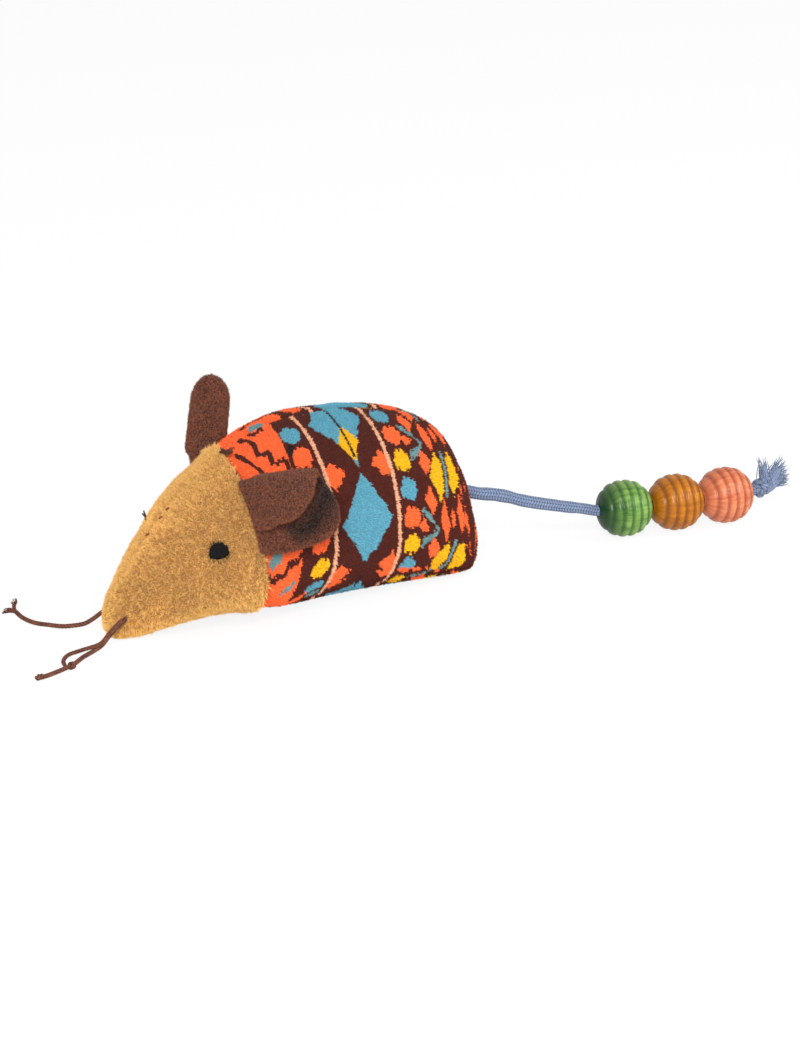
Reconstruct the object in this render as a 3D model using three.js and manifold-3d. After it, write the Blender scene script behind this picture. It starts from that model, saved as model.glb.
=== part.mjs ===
// A stuffed catnip mouse with a beaded cord tail, in millimetres.
// The nose points to -X, the tail to +X, the mouse's left flank is on -Y, and +Z is up.
// The origin is on the flat underside, midway between the nose tip and the rump.
// Run it with the npm packages three and manifold-3d; it exports the assembled group.
import * as THREE from 'three';
import { mergeVertices } from 'three/addons/utils/BufferGeometryUtils.js';
import Module from 'manifold-3d';

const wasm = await Module();
wasm.setup();

// Stuffed form
const headLength = 27;
const bodyLength = 55;
const neckHeight = 31.6;
const neckWidth = 37;
const bodyHeight = 37.8;
const bodyWidth = 38;
const noseTurn = 1.8;
const neckTuck = 1.8;
const restDepth = 0.5;

// Cloth and felt
const plush = 1.3;
const felt = 1.2;
const seatGap = 0.3;
const baseSeamHeight = 2.4;

// Ears, cut as round tongues of felt and folded along a crease
const earLength = 16.9;
const earWidth = 24.8;
const earSideLength = 1.5;
const leftFoldRadius = 2.2;
const rightFoldRadius = 3.15;
const rightEarDome = 3.4;
const foldRadiusAtSeam = 0.8;
const leftCreaseOffset = 2.4;
const rightCreaseOffset = 0.5;
const leftEarDrop = 10;
const rightEarDrop = 7.6;
const earRootDepth = 0.6;
const earTipPower = 2.4;
const leftFlapLength = 15;
const leftFlapPower = 3.7;
const leftHingeSpan = 15;
const rightHingeSpan = 9;
const rightGatherShare = 0.62;
const earHingeRise = 0.9;
const earTwistLength = 4.6;

// Eyes and whiskers
const eyeWidth = 4;
const eyeRise = 1.1;
const leftEyeBack = 19.2;
const rightEyeBack = 17.7;
const leftEyeHeight = 18;
const rightEyeHeight = 16.4;
const whiskerCord = 1.1;
const whiskerHoleGap = 0.35;
const whiskerKnotWidth = 2.5;
const whiskerKnotLength = 1.9;
const whiskerEndKnot = 1.6;

// Tail cord, its beads and its ends
const tailCord = 2.6;
const tailHoleGap = 0.35;
const anchorKnotWidth = 6.4;
const endKnotWidth = 4.6;
const tuftLength = 5.2;
const tuftWidth = 8.2;
const tuftNeck = 2.6;
const beadWidth = 12;
const beadLength = 11.4;
const beadBore = 3.9;
const beadGap = 0.4;
const grooveDepth = 0.42;
const ridgeCount = 6;

// Filling
const stuffingNoseGap = 4.4;
const catnipLength = 20;
const catnipWidth = 15;
const catnipHeight = 10;
const catnipLift = 11;
const pocketGap = 0.3;

// How finely the forms are divided
const sectionPoints = 40;
const earSteps = 12;
const earStepsAcross = 20;
const cordSides = 8;
const beadSides = 24;
const stepsPerRidge = 4;
const overrun = 12;

// Places that follow from the sizes
const neckX = (headLength - bodyLength) / 2;
const noseX = neckX - headLength;
const rumpX = neckX + bodyLength;

// Tables of shares: the first number runs from the neck seam (0) to the nose or the rump (1)
const headCrownShares = [[0, 1], [0.26, 0.895], [0.48, 0.735], [0.67, 0.57], [0.87, 0.355], [0.96, 0.235], [1, 0.125]];
const headWidthShares = [[0, 1], [0.37, 0.735], [0.67, 0.475], [0.87, 0.27], [0.96, 0.165], [1, 0.03]];
const headGirthShares = [[0, 0.37], [0.37, 0.27], [0.74, 0.16], [1, 0.085]];
const headSoleShares = [[0, 1], [0.3, 1], [0.55, 0.6], [0.78, 0.1], [0.88, 0], [0.96, 0.25], [1, 1.1]];
const bodyCrownShares = [
  [0, neckHeight / bodyHeight], [0.073, 0.935], [0.182, 0.995], [0.327, 1.01], [0.49, 1], [0.636, 0.967],
  [0.764, 0.91], [0.855, 0.83], [0.918, 0.7], [0.955, 0.545], [0.98, 0.37], [0.994, 0.21], [1, 0.12],
];
const bodyWidthShares = [
  [0, neckWidth / bodyWidth], [0.182, 0.99], [0.364, 1], [0.545, 0.974], [0.69, 0.92], [0.818, 0.82],
  [0.909, 0.69], [0.955, 0.56], [0.98, 0.42], [0.994, 0.25], [1, 0.04],
];
const bodyGirthShares = [[0, 0.318], [0.22, 0.423], [0.455, 0.455], [0.727, 0.37], [0.909, 0.21], [1, 0.09]];
const bodySoleShares = [[0, 1], [0.15, 0.12], [0.3, 0], [0.93, 0], [0.985, 0.35], [1, 1.1]];
const upperRoundness = [[-1, 2], [-0.3, 1.9], [0, 1.75], [0.15, 1.85], [0.36, 2], [1, 2]];
const lowerRoundness = [[-1, 2.1], [-0.5, 2], [0, 2], [0.36, 1.9], [0.7, 2.2], [1, 3.2]];
const headStationShares = [1, 0.985, 0.96, 0.92, 0.86, 0.78, 0.68, 0.57, 0.45, 0.32, 0.18, 0.06];
const bodyStationShares = [
  0, 0.05, 0.11, 0.18, 0.27, 0.37, 0.48, 0.59, 0.69, 0.78, 0.85, 0.905, 0.945, 0.97, 0.986, 0.995, 1,
];

// Routes of the cords, chosen by hand along the lines that they lie on
const tailRoute = [
  [36.6, 0.1, 15.3], [39.4, 0.1, 14.9], [42.3, -0.2, 14.3], [45.0, -0.75, 13.5], [48.1, -1.3, 12.9],
  [51.2, -1.8, 12.0], [54.0, -2.3, 10.9], [58.0, -2.95, 9.65], [61.6, -3.5, 8.7], [64.4, -3.95, 7.95],
  [67.2, -4.4, 7.3], [69.4, -4.75, 6.7], [71.4, -5.12, 6.15],
];
const whiskerRoute = [
  [-50.8, 18.6, 0.6], [-50.9, 14.7, 0.6], [-49.9, 11.1, 0.6], [-48.1, 8.9, 0.6], [-46.2, 6.9, 0.6],
  [-44.2, 5.6, 0.8], [-42.3, 4.6, 1.2], [-40.6, 4.1, 2.1], [-39.2, 3.4, 3.3], [-38.2, 2.0, 4.4],
  [-37.7, 0.3, 4.9], [-37.6, -1.5, 5.0], [-37.7, -3.3, 5.0], [-38.1, -4.9, 5.0], [-38.9, -6.1, 4.9],
  [-40.3, -6.8, 4.5], [-42.6, -7.3, 3.1], [-44.9, -8.4, 1.8], [-46.85, -8.5, 1.0], [-49.4, -9.7, 0.85],
  [-51.85, -11.8, 1.05], [-53.55, -13.3, 1.3], [-54.9, -13.45, 1.1], [-56.5, -13.3, 0.7], [-58.4, -13.7, 0.6],
  [-59.8, -13.95, 0.6],
];
const whiskerLoopRoute = [
  [-40.25, -6.95, 5.58], [-41.25, -7.45, 5.28], [-43.55, -7.95, 3.88], [-45.85, -9.05, 2.58], [-47.3, -8.7, 2.35],
  [-48.7, -7.9, 1.55], [-49.6, -7.1, 1.0], [-50.6, -6.7, 0.7], [-51.9, -7.3, 0.6], [-53.4, -9.2, 0.6],
  [-54.0, -11.3, 0.65],
];
const whiskerKnotShare = 0.84;
const beadPlace = [77.5, -6.6];
const beadHeadings = [-13.7, -10.6, -7.4];
const endKnotRise = 0.4;
const tuftDirection = new THREE.Vector3(0.69, 0.08, 0.72).normalize();
const leftEarDirection = new THREE.Vector3(0.86, -0.5, 0.1).normalize();
const rightEarDirection = new THREE.Vector3(0.2, 0.1, 0.975).normalize();
const leftLegDirection = null;
const rightLegDirection = new THREE.Vector3(0.5, 0.84, -0.13).normalize();
const leftSkewShare = 0.4;
const rightSkewShare = 0;
const rightStandShare = 0.1;
const flapTurnShares = [-0.2, 0.3];
const leftEarTurns = [-2, 0, 15, 30, 45];
const rightEarTurns = [-35, -15, 0, 12];

// Finishes
const finish = (color, roughness) => new THREE.MeshStandardMaterial({ color, roughness, metalness: 0 });
const tanPlush = finish('#c8924a', 0.95);
const printPlush = finish('#8a4438', 0.95);
const brownFelt = finish('#6a4538', 0.97);
const blackThread = finish('#1e1a1a', 0.8);
const whiskerCotton = finish('#6b3b2c', 0.7);
const tailCotton = finish('#8095c8', 0.9);
const greenLacquer = finish('#5e9a45', 0.35);
const ochreLacquer = finish('#b5761f', 0.35);
const coralLacquer = finish('#e08a62', 0.35);
const whiteFibre = finish('#e8e4dc', 1);
const driedCatnip = finish('#7d8a4e', 1);

// Smooth curve through a table of [place, value], with slopes taken from the neighbours
function follow(table, place) {
  const last = table.length - 1;
  if (place <= table[0][0]) return table[0][1];
  if (place >= table[last][0]) return table[last][1];
  const i = table.findIndex(([end]) => end > place) - 1;
  const slope = (k) => {
    const before = table[Math.max(k - 1, 0)];
    const after = table[Math.min(k + 1, last)];
    return (after[1] - before[1]) / (after[0] - before[0]);
  };
  const span = table[i + 1][0] - table[i][0];
  const t = (place - table[i][0]) / span;
  const blend = t * t * (3 - 2 * t);
  const rise = t * (1 - t) * (1 - t) * slope(i) - t * t * (1 - t) * slope(i + 1);
  return table[i][1] + (table[i + 1][1] - table[i][1]) * blend + span * rise;
}

// Outlines of the stuffed form along X
const alongHead = (x) => (neckX - x) / headLength;
const alongBody = (x) => (x - neckX) / bodyLength;
const signedShare = (x) => (x < neckX ? -alongHead(x) : alongBody(x));

function crown(x) {
  if (x < neckX) return neckHeight * follow(headCrownShares, alongHead(x));
  return bodyHeight * follow(bodyCrownShares, alongBody(x));
}

function halfWidth(x) {
  if (x < neckX) return (neckWidth / 2) * follow(headWidthShares, alongHead(x));
  return (bodyWidth / 2) * follow(bodyWidthShares, alongBody(x));
}

function girth(x) {
  if (x < neckX) return neckHeight * follow(headGirthShares, alongHead(x));
  return bodyHeight * follow(bodyGirthShares, alongBody(x));
}

function sole(x) {
  const share = x < neckX ? follow(headSoleShares, alongHead(x)) : follow(bodySoleShares, alongBody(x));
  return -restDepth + (neckTuck + restDepth) * share;
}

const centreLine = (x) => (x < neckX ? -noseTurn * alongHead(x) ** 2 : 0);

// The least of a profile drawn in by a depth on every side, or the same let out by a negative depth
function drawnIn(profile, x, depth) {
  if (depth <= 0) return profile(x) - depth;
  const samples = [-1, -0.75, -0.5, -0.25, 0, 0.25, 0.5, 0.75, 1];
  const values = samples.map((share) => {
    const away = x + share * depth;
    const inside = away > noseX && away < rumpX;
    return (inside ? profile(away) : 0) - depth * Math.sqrt(1 - share * share);
  });
  return Math.min(...values);
}

// One cross-section of the form, a closed loop of points from the spine down the left side and round
function section(x, depth) {
  const narrowest = felt / 4;
  const wide = Math.max(drawnIn(halfWidth, x, depth), narrowest);
  const low = -drawnIn((place) => -sole(place), x, depth);
  const top = Math.max(drawnIn(crown, x, depth), low + narrowest);
  const middle = Math.min(Math.max(girth(x), low + narrowest / 2), top - narrowest / 2);
  const points = [];
  for (let i = 0; i < sectionPoints; i++) {
    const angle = (2 * Math.PI * i) / sectionPoints;
    const upper = Math.cos(angle) >= 0;
    const power = follow(upper ? upperRoundness : lowerRoundness, signedShare(x));
    const reach = upper ? top - middle : middle - low;
    const out = Math.sign(Math.sin(angle)) * Math.abs(Math.sin(angle)) ** (2 / power);
    const rise = Math.sign(Math.cos(angle)) * Math.abs(Math.cos(angle)) ** (2 / power);
    points.push(new THREE.Vector3(x, centreLine(x) - wide * out, middle + reach * rise));
  }
  return points;
}

// Solids from rows of points
function meshFrom(points, faces) {
  const geometry = new THREE.BufferGeometry();
  geometry.setAttribute('position', new THREE.Float32BufferAttribute(points.flatMap((p) => [p.x, p.y, p.z]), 3));
  geometry.setIndex(faces.flat());
  return geometry;
}

function loft(rings) {
  const count = rings[0].length;
  const points = rings.flat();
  const faces = [];
  for (let r = 0; r + 1 < rings.length; r++) {
    for (let i = 0; i < count; i++) {
      const a = r * count + i;
      const b = r * count + ((i + 1) % count);
      faces.push([a, b, a + count], [b, b + count, a + count]);
    }
  }
  const middleOf = (ring) => ring.reduce((sum, p) => sum.add(p), new THREE.Vector3()).divideScalar(count);
  const first = points.push(middleOf(rings[0])) - 1;
  const last = points.push(middleOf(rings[rings.length - 1])) - 1;
  const end = (rings.length - 1) * count;
  for (let i = 0; i < count; i++) {
    const next = (i + 1) % count;
    faces.push([first, next, i], [last, end + i, end + next]);
  }
  return meshFrom(points, faces);
}

// A sheet of a given thickness about a grid of middle points
function sheet(rows, thickness) {
  const across = rows[0].length;
  const normalAt = (r, c) => {
    const along = rows[Math.min(r + 1, rows.length - 1)][c].clone().sub(rows[Math.max(r - 1, 0)][c]);
    const over = rows[r][Math.min(c + 1, across - 1)].clone().sub(rows[r][Math.max(c - 1, 0)]);
    return along.cross(over).normalize().multiplyScalar(thickness / 2);
  };
  const upper = rows.map((row, r) => row.map((p, c) => p.clone().add(normalAt(r, c))));
  const lower = rows.map((row, r) => row.map((p, c) => p.clone().sub(normalAt(r, c))));
  const rings = rows.map((row, r) => [...upper[r], ...lower[r].reverse()]);
  return ringedSheet(rings, across);
}

// The closed skin of rows whose loops are flat: upper points one way, lower points back
function ringedSheet(rings, across) {
  const count = 2 * across;
  const faces = [];
  for (let r = 0; r + 1 < rings.length; r++) {
    for (let i = 0; i < count; i++) {
      const a = r * count + i;
      const b = r * count + ((i + 1) % count);
      faces.push([a, b, a + count], [b, b + count, a + count]);
    }
  }
  const end = (rings.length - 1) * count;
  for (let i = 0; i + 1 < across; i++) {
    const opposite = count - 1 - i;
    faces.push([i, opposite, i + 1], [opposite, opposite - 1, i + 1]);
    faces.push([end + i, end + i + 1, end + opposite], [end + opposite, end + i + 1, end + opposite - 1]);
  }
  return meshFrom(rings.flat(), faces);
}

// Solids for joining and cutting
function solidOf(geometry) {
  const bare = geometry.clone();
  bare.deleteAttribute('normal');
  bare.deleteAttribute('uv');
  const merged = mergeVertices(bare, felt / 1000);
  const index = merged.index.array;
  const kept = [];
  for (let i = 0; i < index.length; i += 3) {
    const [a, b, c] = [index[i], index[i + 1], index[i + 2]];
    if (a !== b && b !== c && c !== a) kept.push(a, b, c);
  }
  const build = (triangles) => new wasm.Manifold(new wasm.Mesh({
    numProp: 3,
    vertProperties: new Float32Array(merged.attributes.position.array),
    triVerts: new Uint32Array(triangles),
  }));
  const solid = build(kept);
  return solid.volume() < 0 ? build(kept.reverse()) : solid;
}

function geometryOf(solid) {
  const { vertProperties, triVerts } = solid.getMesh();
  const geometry = new THREE.BufferGeometry();
  geometry.setAttribute('position', new THREE.BufferAttribute(new Float32Array(vertProperties), 3));
  geometry.setIndex(new THREE.BufferAttribute(new Uint32Array(triVerts), 1));
  return geometry;
}

function block(low, high) {
  const size = new THREE.Vector3().subVectors(high, low);
  const middle = new THREE.Vector3().addVectors(high, low).divideScalar(2);
  return solidOf(new THREE.BoxGeometry(size.x, size.y, size.z).translate(middle.x, middle.y, middle.z));
}

// The stuffed form, drawn in by a depth from its outer face, with its foot cut flat
function form(depth) {
  const inset = Math.max(depth, 0);
  const [front, back] = [noseX + inset, rumpX - inset];
  const shrink = (x) => front + ((x - noseX) / (rumpX - noseX)) * (back - front);
  const stations = [
    ...headStationShares.map((share) => neckX - share * headLength),
    ...bodyStationShares.map((share) => neckX + share * bodyLength),
  ];
  const whole = solidOf(loft(stations.map((x) => section(shrink(x), depth))));
  const foot = block(
    new THREE.Vector3(noseX - overrun, -bodyWidth, depth),
    new THREE.Vector3(rumpX + overrun, bodyWidth, bodyHeight + overrun),
  );
  return whole.intersect(foot);
}

// Regions that the seams bound
function sideRegion(sign) {
  const outline = new THREE.Shape();
  const far = sign * (bodyWidth + overrun);
  outline.moveTo(noseX - overrun, far);
  outline.lineTo(noseX - overrun, centreLine(noseX) + sign * seatGap / 2);
  for (const share of headStationShares) {
    const x = neckX - share * headLength;
    outline.lineTo(x, centreLine(x) + sign * seatGap / 2);
  }
  outline.lineTo(rumpX + overrun, sign * seatGap / 2);
  outline.lineTo(rumpX + overrun, far);
  const depth = bodyHeight + 2 * overrun;
  return solidOf(new THREE.ExtrudeGeometry(outline, { depth, bevelEnabled: false }).translate(0, 0, -overrun));
}

function baseRegion() {
  const outline = new THREE.Shape();
  const lift = baseSeamHeight - seatGap / 2;
  outline.moveTo(neckX - overrun, -overrun);
  outline.lineTo(neckX - overrun, sole(neckX) + lift);
  for (const share of bodyStationShares) {
    const x = neckX + share * bodyLength;
    outline.lineTo(x, Math.max(sole(x), 0) + lift);
  }
  outline.lineTo(rumpX + overrun, Math.max(sole(rumpX), 0) + lift);
  outline.lineTo(rumpX + overrun, -overrun);
  const depth = bodyWidth + 2 * overrun;
  const extruded = new THREE.ExtrudeGeometry(outline, { depth, bevelEnabled: false });
  return solidOf(extruded.rotateX(Math.PI / 2).translate(0, depth / 2, 0));
}

function tubeAlong(points, diameter, sides, steps) {
  const curve = new THREE.CatmullRomCurve3(points.map(([x, y, z]) => new THREE.Vector3(x, y, z)));
  const outline = new THREE.Shape();
  for (let i = 0; i < sides; i++) {
    const angle = (2 * Math.PI * i) / sides;
    outline[i ? 'lineTo' : 'moveTo']((diameter / 2) * Math.cos(angle), (diameter / 2) * Math.sin(angle));
  }
  return new THREE.ExtrudeGeometry(outline, { steps, bevelEnabled: false, extrudePath: curve });
}

// Places of the beads on the cord
const heading = (degrees) => {
  const angle = THREE.MathUtils.degToRad(degrees);
  return new THREE.Vector3(Math.cos(angle), Math.sin(angle), 0);
};
const beadAxes = beadHeadings.map(heading);
const beadPitch = beadLength + beadGap;
const beadCentres = [new THREE.Vector3(...beadPlace, beadWidth / 2)];
for (let i = 1; i < beadAxes.length; i++) {
  const step = beadAxes[i - 1].clone().add(beadAxes[i]).multiplyScalar(beadPitch / 2);
  beadCentres.push(beadCentres[i - 1].clone().add(step));
}
const lastAxis = beadAxes[beadAxes.length - 1];
const lastCentre = beadCentres[beadCentres.length - 1];
const cordEnd = lastCentre.clone().addScaledVector(lastAxis, beadLength / 2 + beadGap);
const endKnotCentre = cordEnd.clone().addScaledVector(lastAxis, seatGap + endKnotWidth / 2);
endKnotCentre.z += endKnotRise;
const tailPoints = [...tailRoute, ...beadCentres.map((p) => p.toArray()), cordEnd.toArray()];

// Sewn skins
const outer = form(0);
const shell = outer.subtract(form(plush));
const forward = block(
  new THREE.Vector3(noseX - overrun, -bodyWidth, -overrun),
  new THREE.Vector3(neckX - seatGap / 2, bodyWidth, bodyHeight + overrun),
);
const rearward = block(
  new THREE.Vector3(neckX + seatGap / 2, -bodyWidth, -overrun),
  new THREE.Vector3(rumpX + overrun, bodyWidth, bodyHeight + overrun),
);
const aboveBase = block(
  new THREE.Vector3(noseX - overrun, -bodyWidth, -overrun),
  new THREE.Vector3(rumpX + overrun, bodyWidth, bodyHeight + overrun),
).subtract(baseRegion().translate([0, 0, seatGap]));

const tailHole = solidOf(tubeAlong(tailRoute.slice(0, 4), tailCord + 2 * tailHoleGap, 2 * cordSides, 6));
const whiskerHole = solidOf(tubeAlong(
  whiskerRoute.slice(8, 16), whiskerCord + 2 * whiskerHoleGap, cordSides, whiskerRoute.length,
));
const headSkin = shell.intersect(forward).subtract(whiskerHole);
const bodySkin = shell.intersect(rearward).subtract(tailHole);
const sides = { left: sideRegion(-1), right: sideRegion(1) };

const headPanel = (side) => geometryOf(headSkin.intersect(sides[side]));
const bodyPanel = (side) => geometryOf(bodySkin.intersect(aboveBase).intersect(sides[side]));
const basePanel = () => geometryOf(bodySkin.intersect(baseRegion()));

// Filling
const anchorCentre = new THREE.Vector3(...tailRoute[0]).addScaledVector(
  new THREE.Vector3(...tailRoute[0]).sub(new THREE.Vector3(...tailRoute[1])).normalize(),
  anchorKnotWidth / 2 + seatGap,
);
const catnipCentre = new THREE.Vector3(0, 0, catnipLift);

function catnipFill(gap) {
  const [x, y, z] = [catnipLength, catnipWidth, catnipHeight].map((size) => size / 2 + gap);
  return new THREE.SphereGeometry(1, 20, 12).scale(x, y, z)
    .translate(catnipCentre.x, catnipCentre.y, catnipCentre.z);
}

function stuffing() {
  const start = noseX + plush + stuffingNoseGap;
  const keep = block(
    new THREE.Vector3(start, -bodyWidth, -overrun),
    new THREE.Vector3(rumpX, bodyWidth, bodyHeight + overrun),
  );
  const room = anchorKnotWidth / 2 + pocketGap;
  const knotPocket = solidOf(
    new THREE.SphereGeometry(room, 16, 12).translate(anchorCentre.x, anchorCentre.y, anchorCentre.z),
  );
  const mouth = solidOf(tubeAlong(
    [anchorCentre.toArray(), ...tailRoute.slice(0, 4)], tailCord + 2 * tailHoleGap, 2 * cordSides, 8,
  ));
  const slit = block(
    new THREE.Vector3(-catnipLength / 4, -catnipWidth / 4, -overrun),
    new THREE.Vector3(catnipLength / 4, catnipWidth / 4, catnipLift),
  );
  return form(plush + seatGap).intersect(keep)
    .subtract(knotPocket).subtract(mouth)
    .subtract(solidOf(catnipFill(pocketGap))).subtract(slit);
}

// Ears: a folded tongue of felt that grows from the neck seam
function seamPath(side) {
  const ring = section(neckX, 0).slice(0, sectionPoints / 2);
  const points = ring.map((p) => new THREE.Vector3(p.x, side === 'left' ? p.y : -p.y, p.z));
  return new THREE.CatmullRomCurve3(points);
}

function pointDownSeam(path, distance) {
  const share = Math.min(Math.max(distance / path.getLength(), 0), 1);
  return { place: path.getPointAt(share), tangent: path.getTangentAt(share) };
}

function earFrame(side) {
  const left = side === 'left';
  const path = seamPath(side);
  const start = left ? leftEarDrop : rightEarDrop;
  const { place: top } = pointDownSeam(path, start);
  const { place: low } = pointDownSeam(path, start + (left ? leftHingeSpan : rightHingeSpan));
  const outward = new THREE.Vector3(0, (left ? 1 : -1) * (top.z - low.z), Math.abs(low.y - top.y))
    .multiply(new THREE.Vector3(0, -1, 1)).normalize();
  return {
    path,
    start,
    pivot: top.clone().add(low).divideScalar(2).addScaledVector(outward, earHingeRise),
    axis: low.clone().sub(top).normalize(),
    direction: left ? leftEarDirection : rightEarDirection,
    legDirection: left ? leftLegDirection : rightLegDirection,
    radius: left ? leftFoldRadius : rightFoldRadius,
    offset: left ? leftCreaseOffset : rightCreaseOffset,
    skew: left ? leftSkewShare : rightSkewShare,
    dome: left ? 0 : rightEarDome,
    flapLength: left ? leftFlapLength : earLength,
    flapPower: left ? leftFlapPower : earTipPower,
    stand: left ? 1 : rightStandShare,
    gather: left ? 1 : rightGatherShare,
  };
}

function earMiddle(frame) {
  const rows = [];
  for (let r = 0; r <= earSteps; r++) {
    const row = [];
    for (let c = 0; c <= earStepsAcross; c++) {
      const across = Math.sin((Math.PI / 2) * ((2 * c) / earStepsAcross - 1));
      const skewed = across - frame.skew * (1 - across * across);
      const turned = THREE.MathUtils.smoothstep(across, ...flapTurnShares);
      const power = THREE.MathUtils.lerp(frame.flapPower, earTipPower, turned);
      const length = THREE.MathUtils.lerp(frame.flapLength, earLength, turned);
      const round = (1 - Math.abs(skewed) ** power) ** (1 / power);
      const reach = earSideLength + (length - earSideLength) * round;
      const along = -earRootDepth + (reach + earRootDepth) * (r / earSteps);
      row.push(foldedPoint(frame, frame.offset + across * (earWidth / 2), along));
    }
    rows.push(row);
  }
  return rows;
}

// A point of the folded sheet: spread is measured from the crease, along from the seam
function foldedPoint(frame, spread, along) {
  const opening = Math.min(Math.max(along / earTwistLength, 0), 1);
  const radius = foldRadiusAtSeam + (frame.radius - foldRadiusAtSeam) * opening;
  const quarter = (Math.PI / 2) * radius;
  const turn = Math.min(Math.max(spread / radius, -Math.PI / 2), Math.PI / 2);
  const leg = Math.max(Math.abs(spread) - quarter, 0);
  const down = radius - radius * Math.cos(turn) + leg;
  const { place, tangent } = pointDownSeam(frame.path, frame.start + down * frame.gather);
  if (frame.legDirection) {
    const top = pointDownSeam(frame.path, frame.start).place;
    place.lerp(top.addScaledVector(frame.legDirection, down), opening);
    tangent.lerp(frame.legDirection, opening).normalize();
  }
  const apart = new THREE.Vector3().crossVectors(tangent, frame.direction).normalize();
  if (apart.x > 0) apart.negate();
  const shift = frame.stand * (radius + felt / 2 + seatGap);
  const fall = frame.dome * opening * (1 - Math.cos(turn));
  return place.addScaledVector(apart, shift - radius * Math.sin(turn))
    .addScaledVector(frame.direction, along - fall);
}

// The felt is trimmed where the stuffed form would meet it anywhere in its swing
function ear(side) {
  const frame = earFrame(side);
  let solid = solidOf(sheet(earMiddle(frame), felt));
  const keepOff = geometryOf(form(-seatGap));
  for (const degrees of side === 'left' ? leftEarTurns : rightEarTurns) {
    const turned = keepOff.clone().translate(-frame.pivot.x, -frame.pivot.y, -frame.pivot.z);
    turned.applyMatrix4(new THREE.Matrix4().makeRotationAxis(frame.axis, THREE.MathUtils.degToRad(-degrees)));
    turned.translate(frame.pivot.x, frame.pivot.y, frame.pivot.z);
    solid = solid.subtract(solidOf(turned));
  }
  return geometryOf(largest(solid));
}

function largest(solid) {
  return solid.decompose().sort((a, b) => b.volume() - a.volume())[0];
}

// Eyes: domes of black thread that sit on the plush
function eye(side) {
  const x = noseX + (side === 'left' ? leftEyeBack : rightEyeBack);
  const sign = side === 'left' ? -1 : 1;
  const eyeHeight = side === 'left' ? leftEyeHeight : rightEyeHeight;
  const ring = section(x, 0).slice(0, sectionPoints / 2);
  const level = ring.findIndex((p) => p.z < eyeHeight);
  const [above, below] = [ring[level - 1], ring[level]];
  const share = (above.z - eyeHeight) / (above.z - below.z);
  const out = (centreLine(x) - above.y) * (1 - share) + (centreLine(x) - below.y) * share;
  const place = new THREE.Vector3(x, centreLine(x) + sign * out, eyeHeight);
  const slope = new THREE.Vector3(0, sign * (above.z - below.z), Math.abs(below.y - above.y)).normalize();
  const lens = new THREE.SphereGeometry(eyeWidth / 2, 16, 12).scale(1, 1, (2 * (eyeRise + seatGap)) / eyeWidth);
  lens.applyQuaternion(new THREE.Quaternion().setFromUnitVectors(new THREE.Vector3(0, 0, 1), slope));
  lens.translate(place.x, place.y, place.z);
  return geometryOf(solidOf(lens).subtract(form(-seatGap)));
}

// Beads: turned balls with grooves round them and a bore for the cord
function bead() {
  const [radius, half, bore] = [beadWidth / 2, beadLength / 2, beadBore / 2];
  const grooves = ridgeCount - 1;
  const steps = ridgeCount * stepsPerRidge;
  const profile = [new THREE.Vector2(bore, -half)];
  for (let i = 0; i <= steps; i++) {
    const share = (2 * i) / steps - 1;
    const ball = Math.sqrt(Math.max(radius * radius - (share * half) ** 2, bore * bore));
    const ridge = Math.abs(Math.cos((Math.PI * (share + 1) * ridgeCount) / 2));
    const atEnd = i === 0 || i === steps;
    const depth = atEnd ? 0 : grooveDepth * ridge ** (grooves / 2);
    profile.push(new THREE.Vector2(Math.max(ball - depth, bore + grooveDepth), share * half));
  }
  profile.push(new THREE.Vector2(bore, half));
  profile.push(profile[0].clone());
  return new THREE.LatheGeometry(profile, beadSides);
}

function placedBead(index) {
  const turn = new THREE.Quaternion().setFromUnitVectors(new THREE.Vector3(0, 1, 0), beadAxes[index]);
  const centre = beadCentres[index];
  return bead().applyQuaternion(turn).translate(centre.x, centre.y, centre.z);
}

// Knots and the frayed end
function roundKnot(width, centre, lengthShare) {
  return new THREE.SphereGeometry(width / 2, 14, 10).scale(lengthShare, 1, 1)
    .translate(centre.x, centre.y, centre.z);
}

function whiskerKnot() {
  const index = Math.round(whiskerKnotShare * (whiskerRoute.length - 1));
  const [before, here, after] = [-1, 0, 1].map((k) => new THREE.Vector3(...whiskerRoute[index + k]));
  const direction = after.sub(before).normalize();
  const bore = whiskerCord / 2 + whiskerHoleGap;
  const outside = whiskerKnotWidth / 2;
  const half = whiskerKnotLength / 2;
  const corners = [[bore, -half], [outside * 0.8, -half], [outside, 0], [outside * 0.8, half], [bore, half]];
  const profile = [...corners, corners[0]].map(([r, along]) => new THREE.Vector2(r, along));
  const turn = new THREE.Quaternion().setFromUnitVectors(new THREE.Vector3(0, 1, 0), direction);
  return new THREE.LatheGeometry(profile, 12).applyQuaternion(turn).translate(here.x, here.y, here.z);
}

function whiskerEnd() {
  const [before, tip] = whiskerRoute.slice(-2).map((p) => new THREE.Vector3(...p));
  const direction = tip.clone().sub(before).normalize();
  const centre = tip.addScaledVector(direction, whiskerEndKnot / 2 + seatGap);
  centre.z = whiskerEndKnot / 2;
  return new THREE.SphereGeometry(whiskerEndKnot / 2, 10, 8).translate(centre.x, centre.y, centre.z);
}

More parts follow.
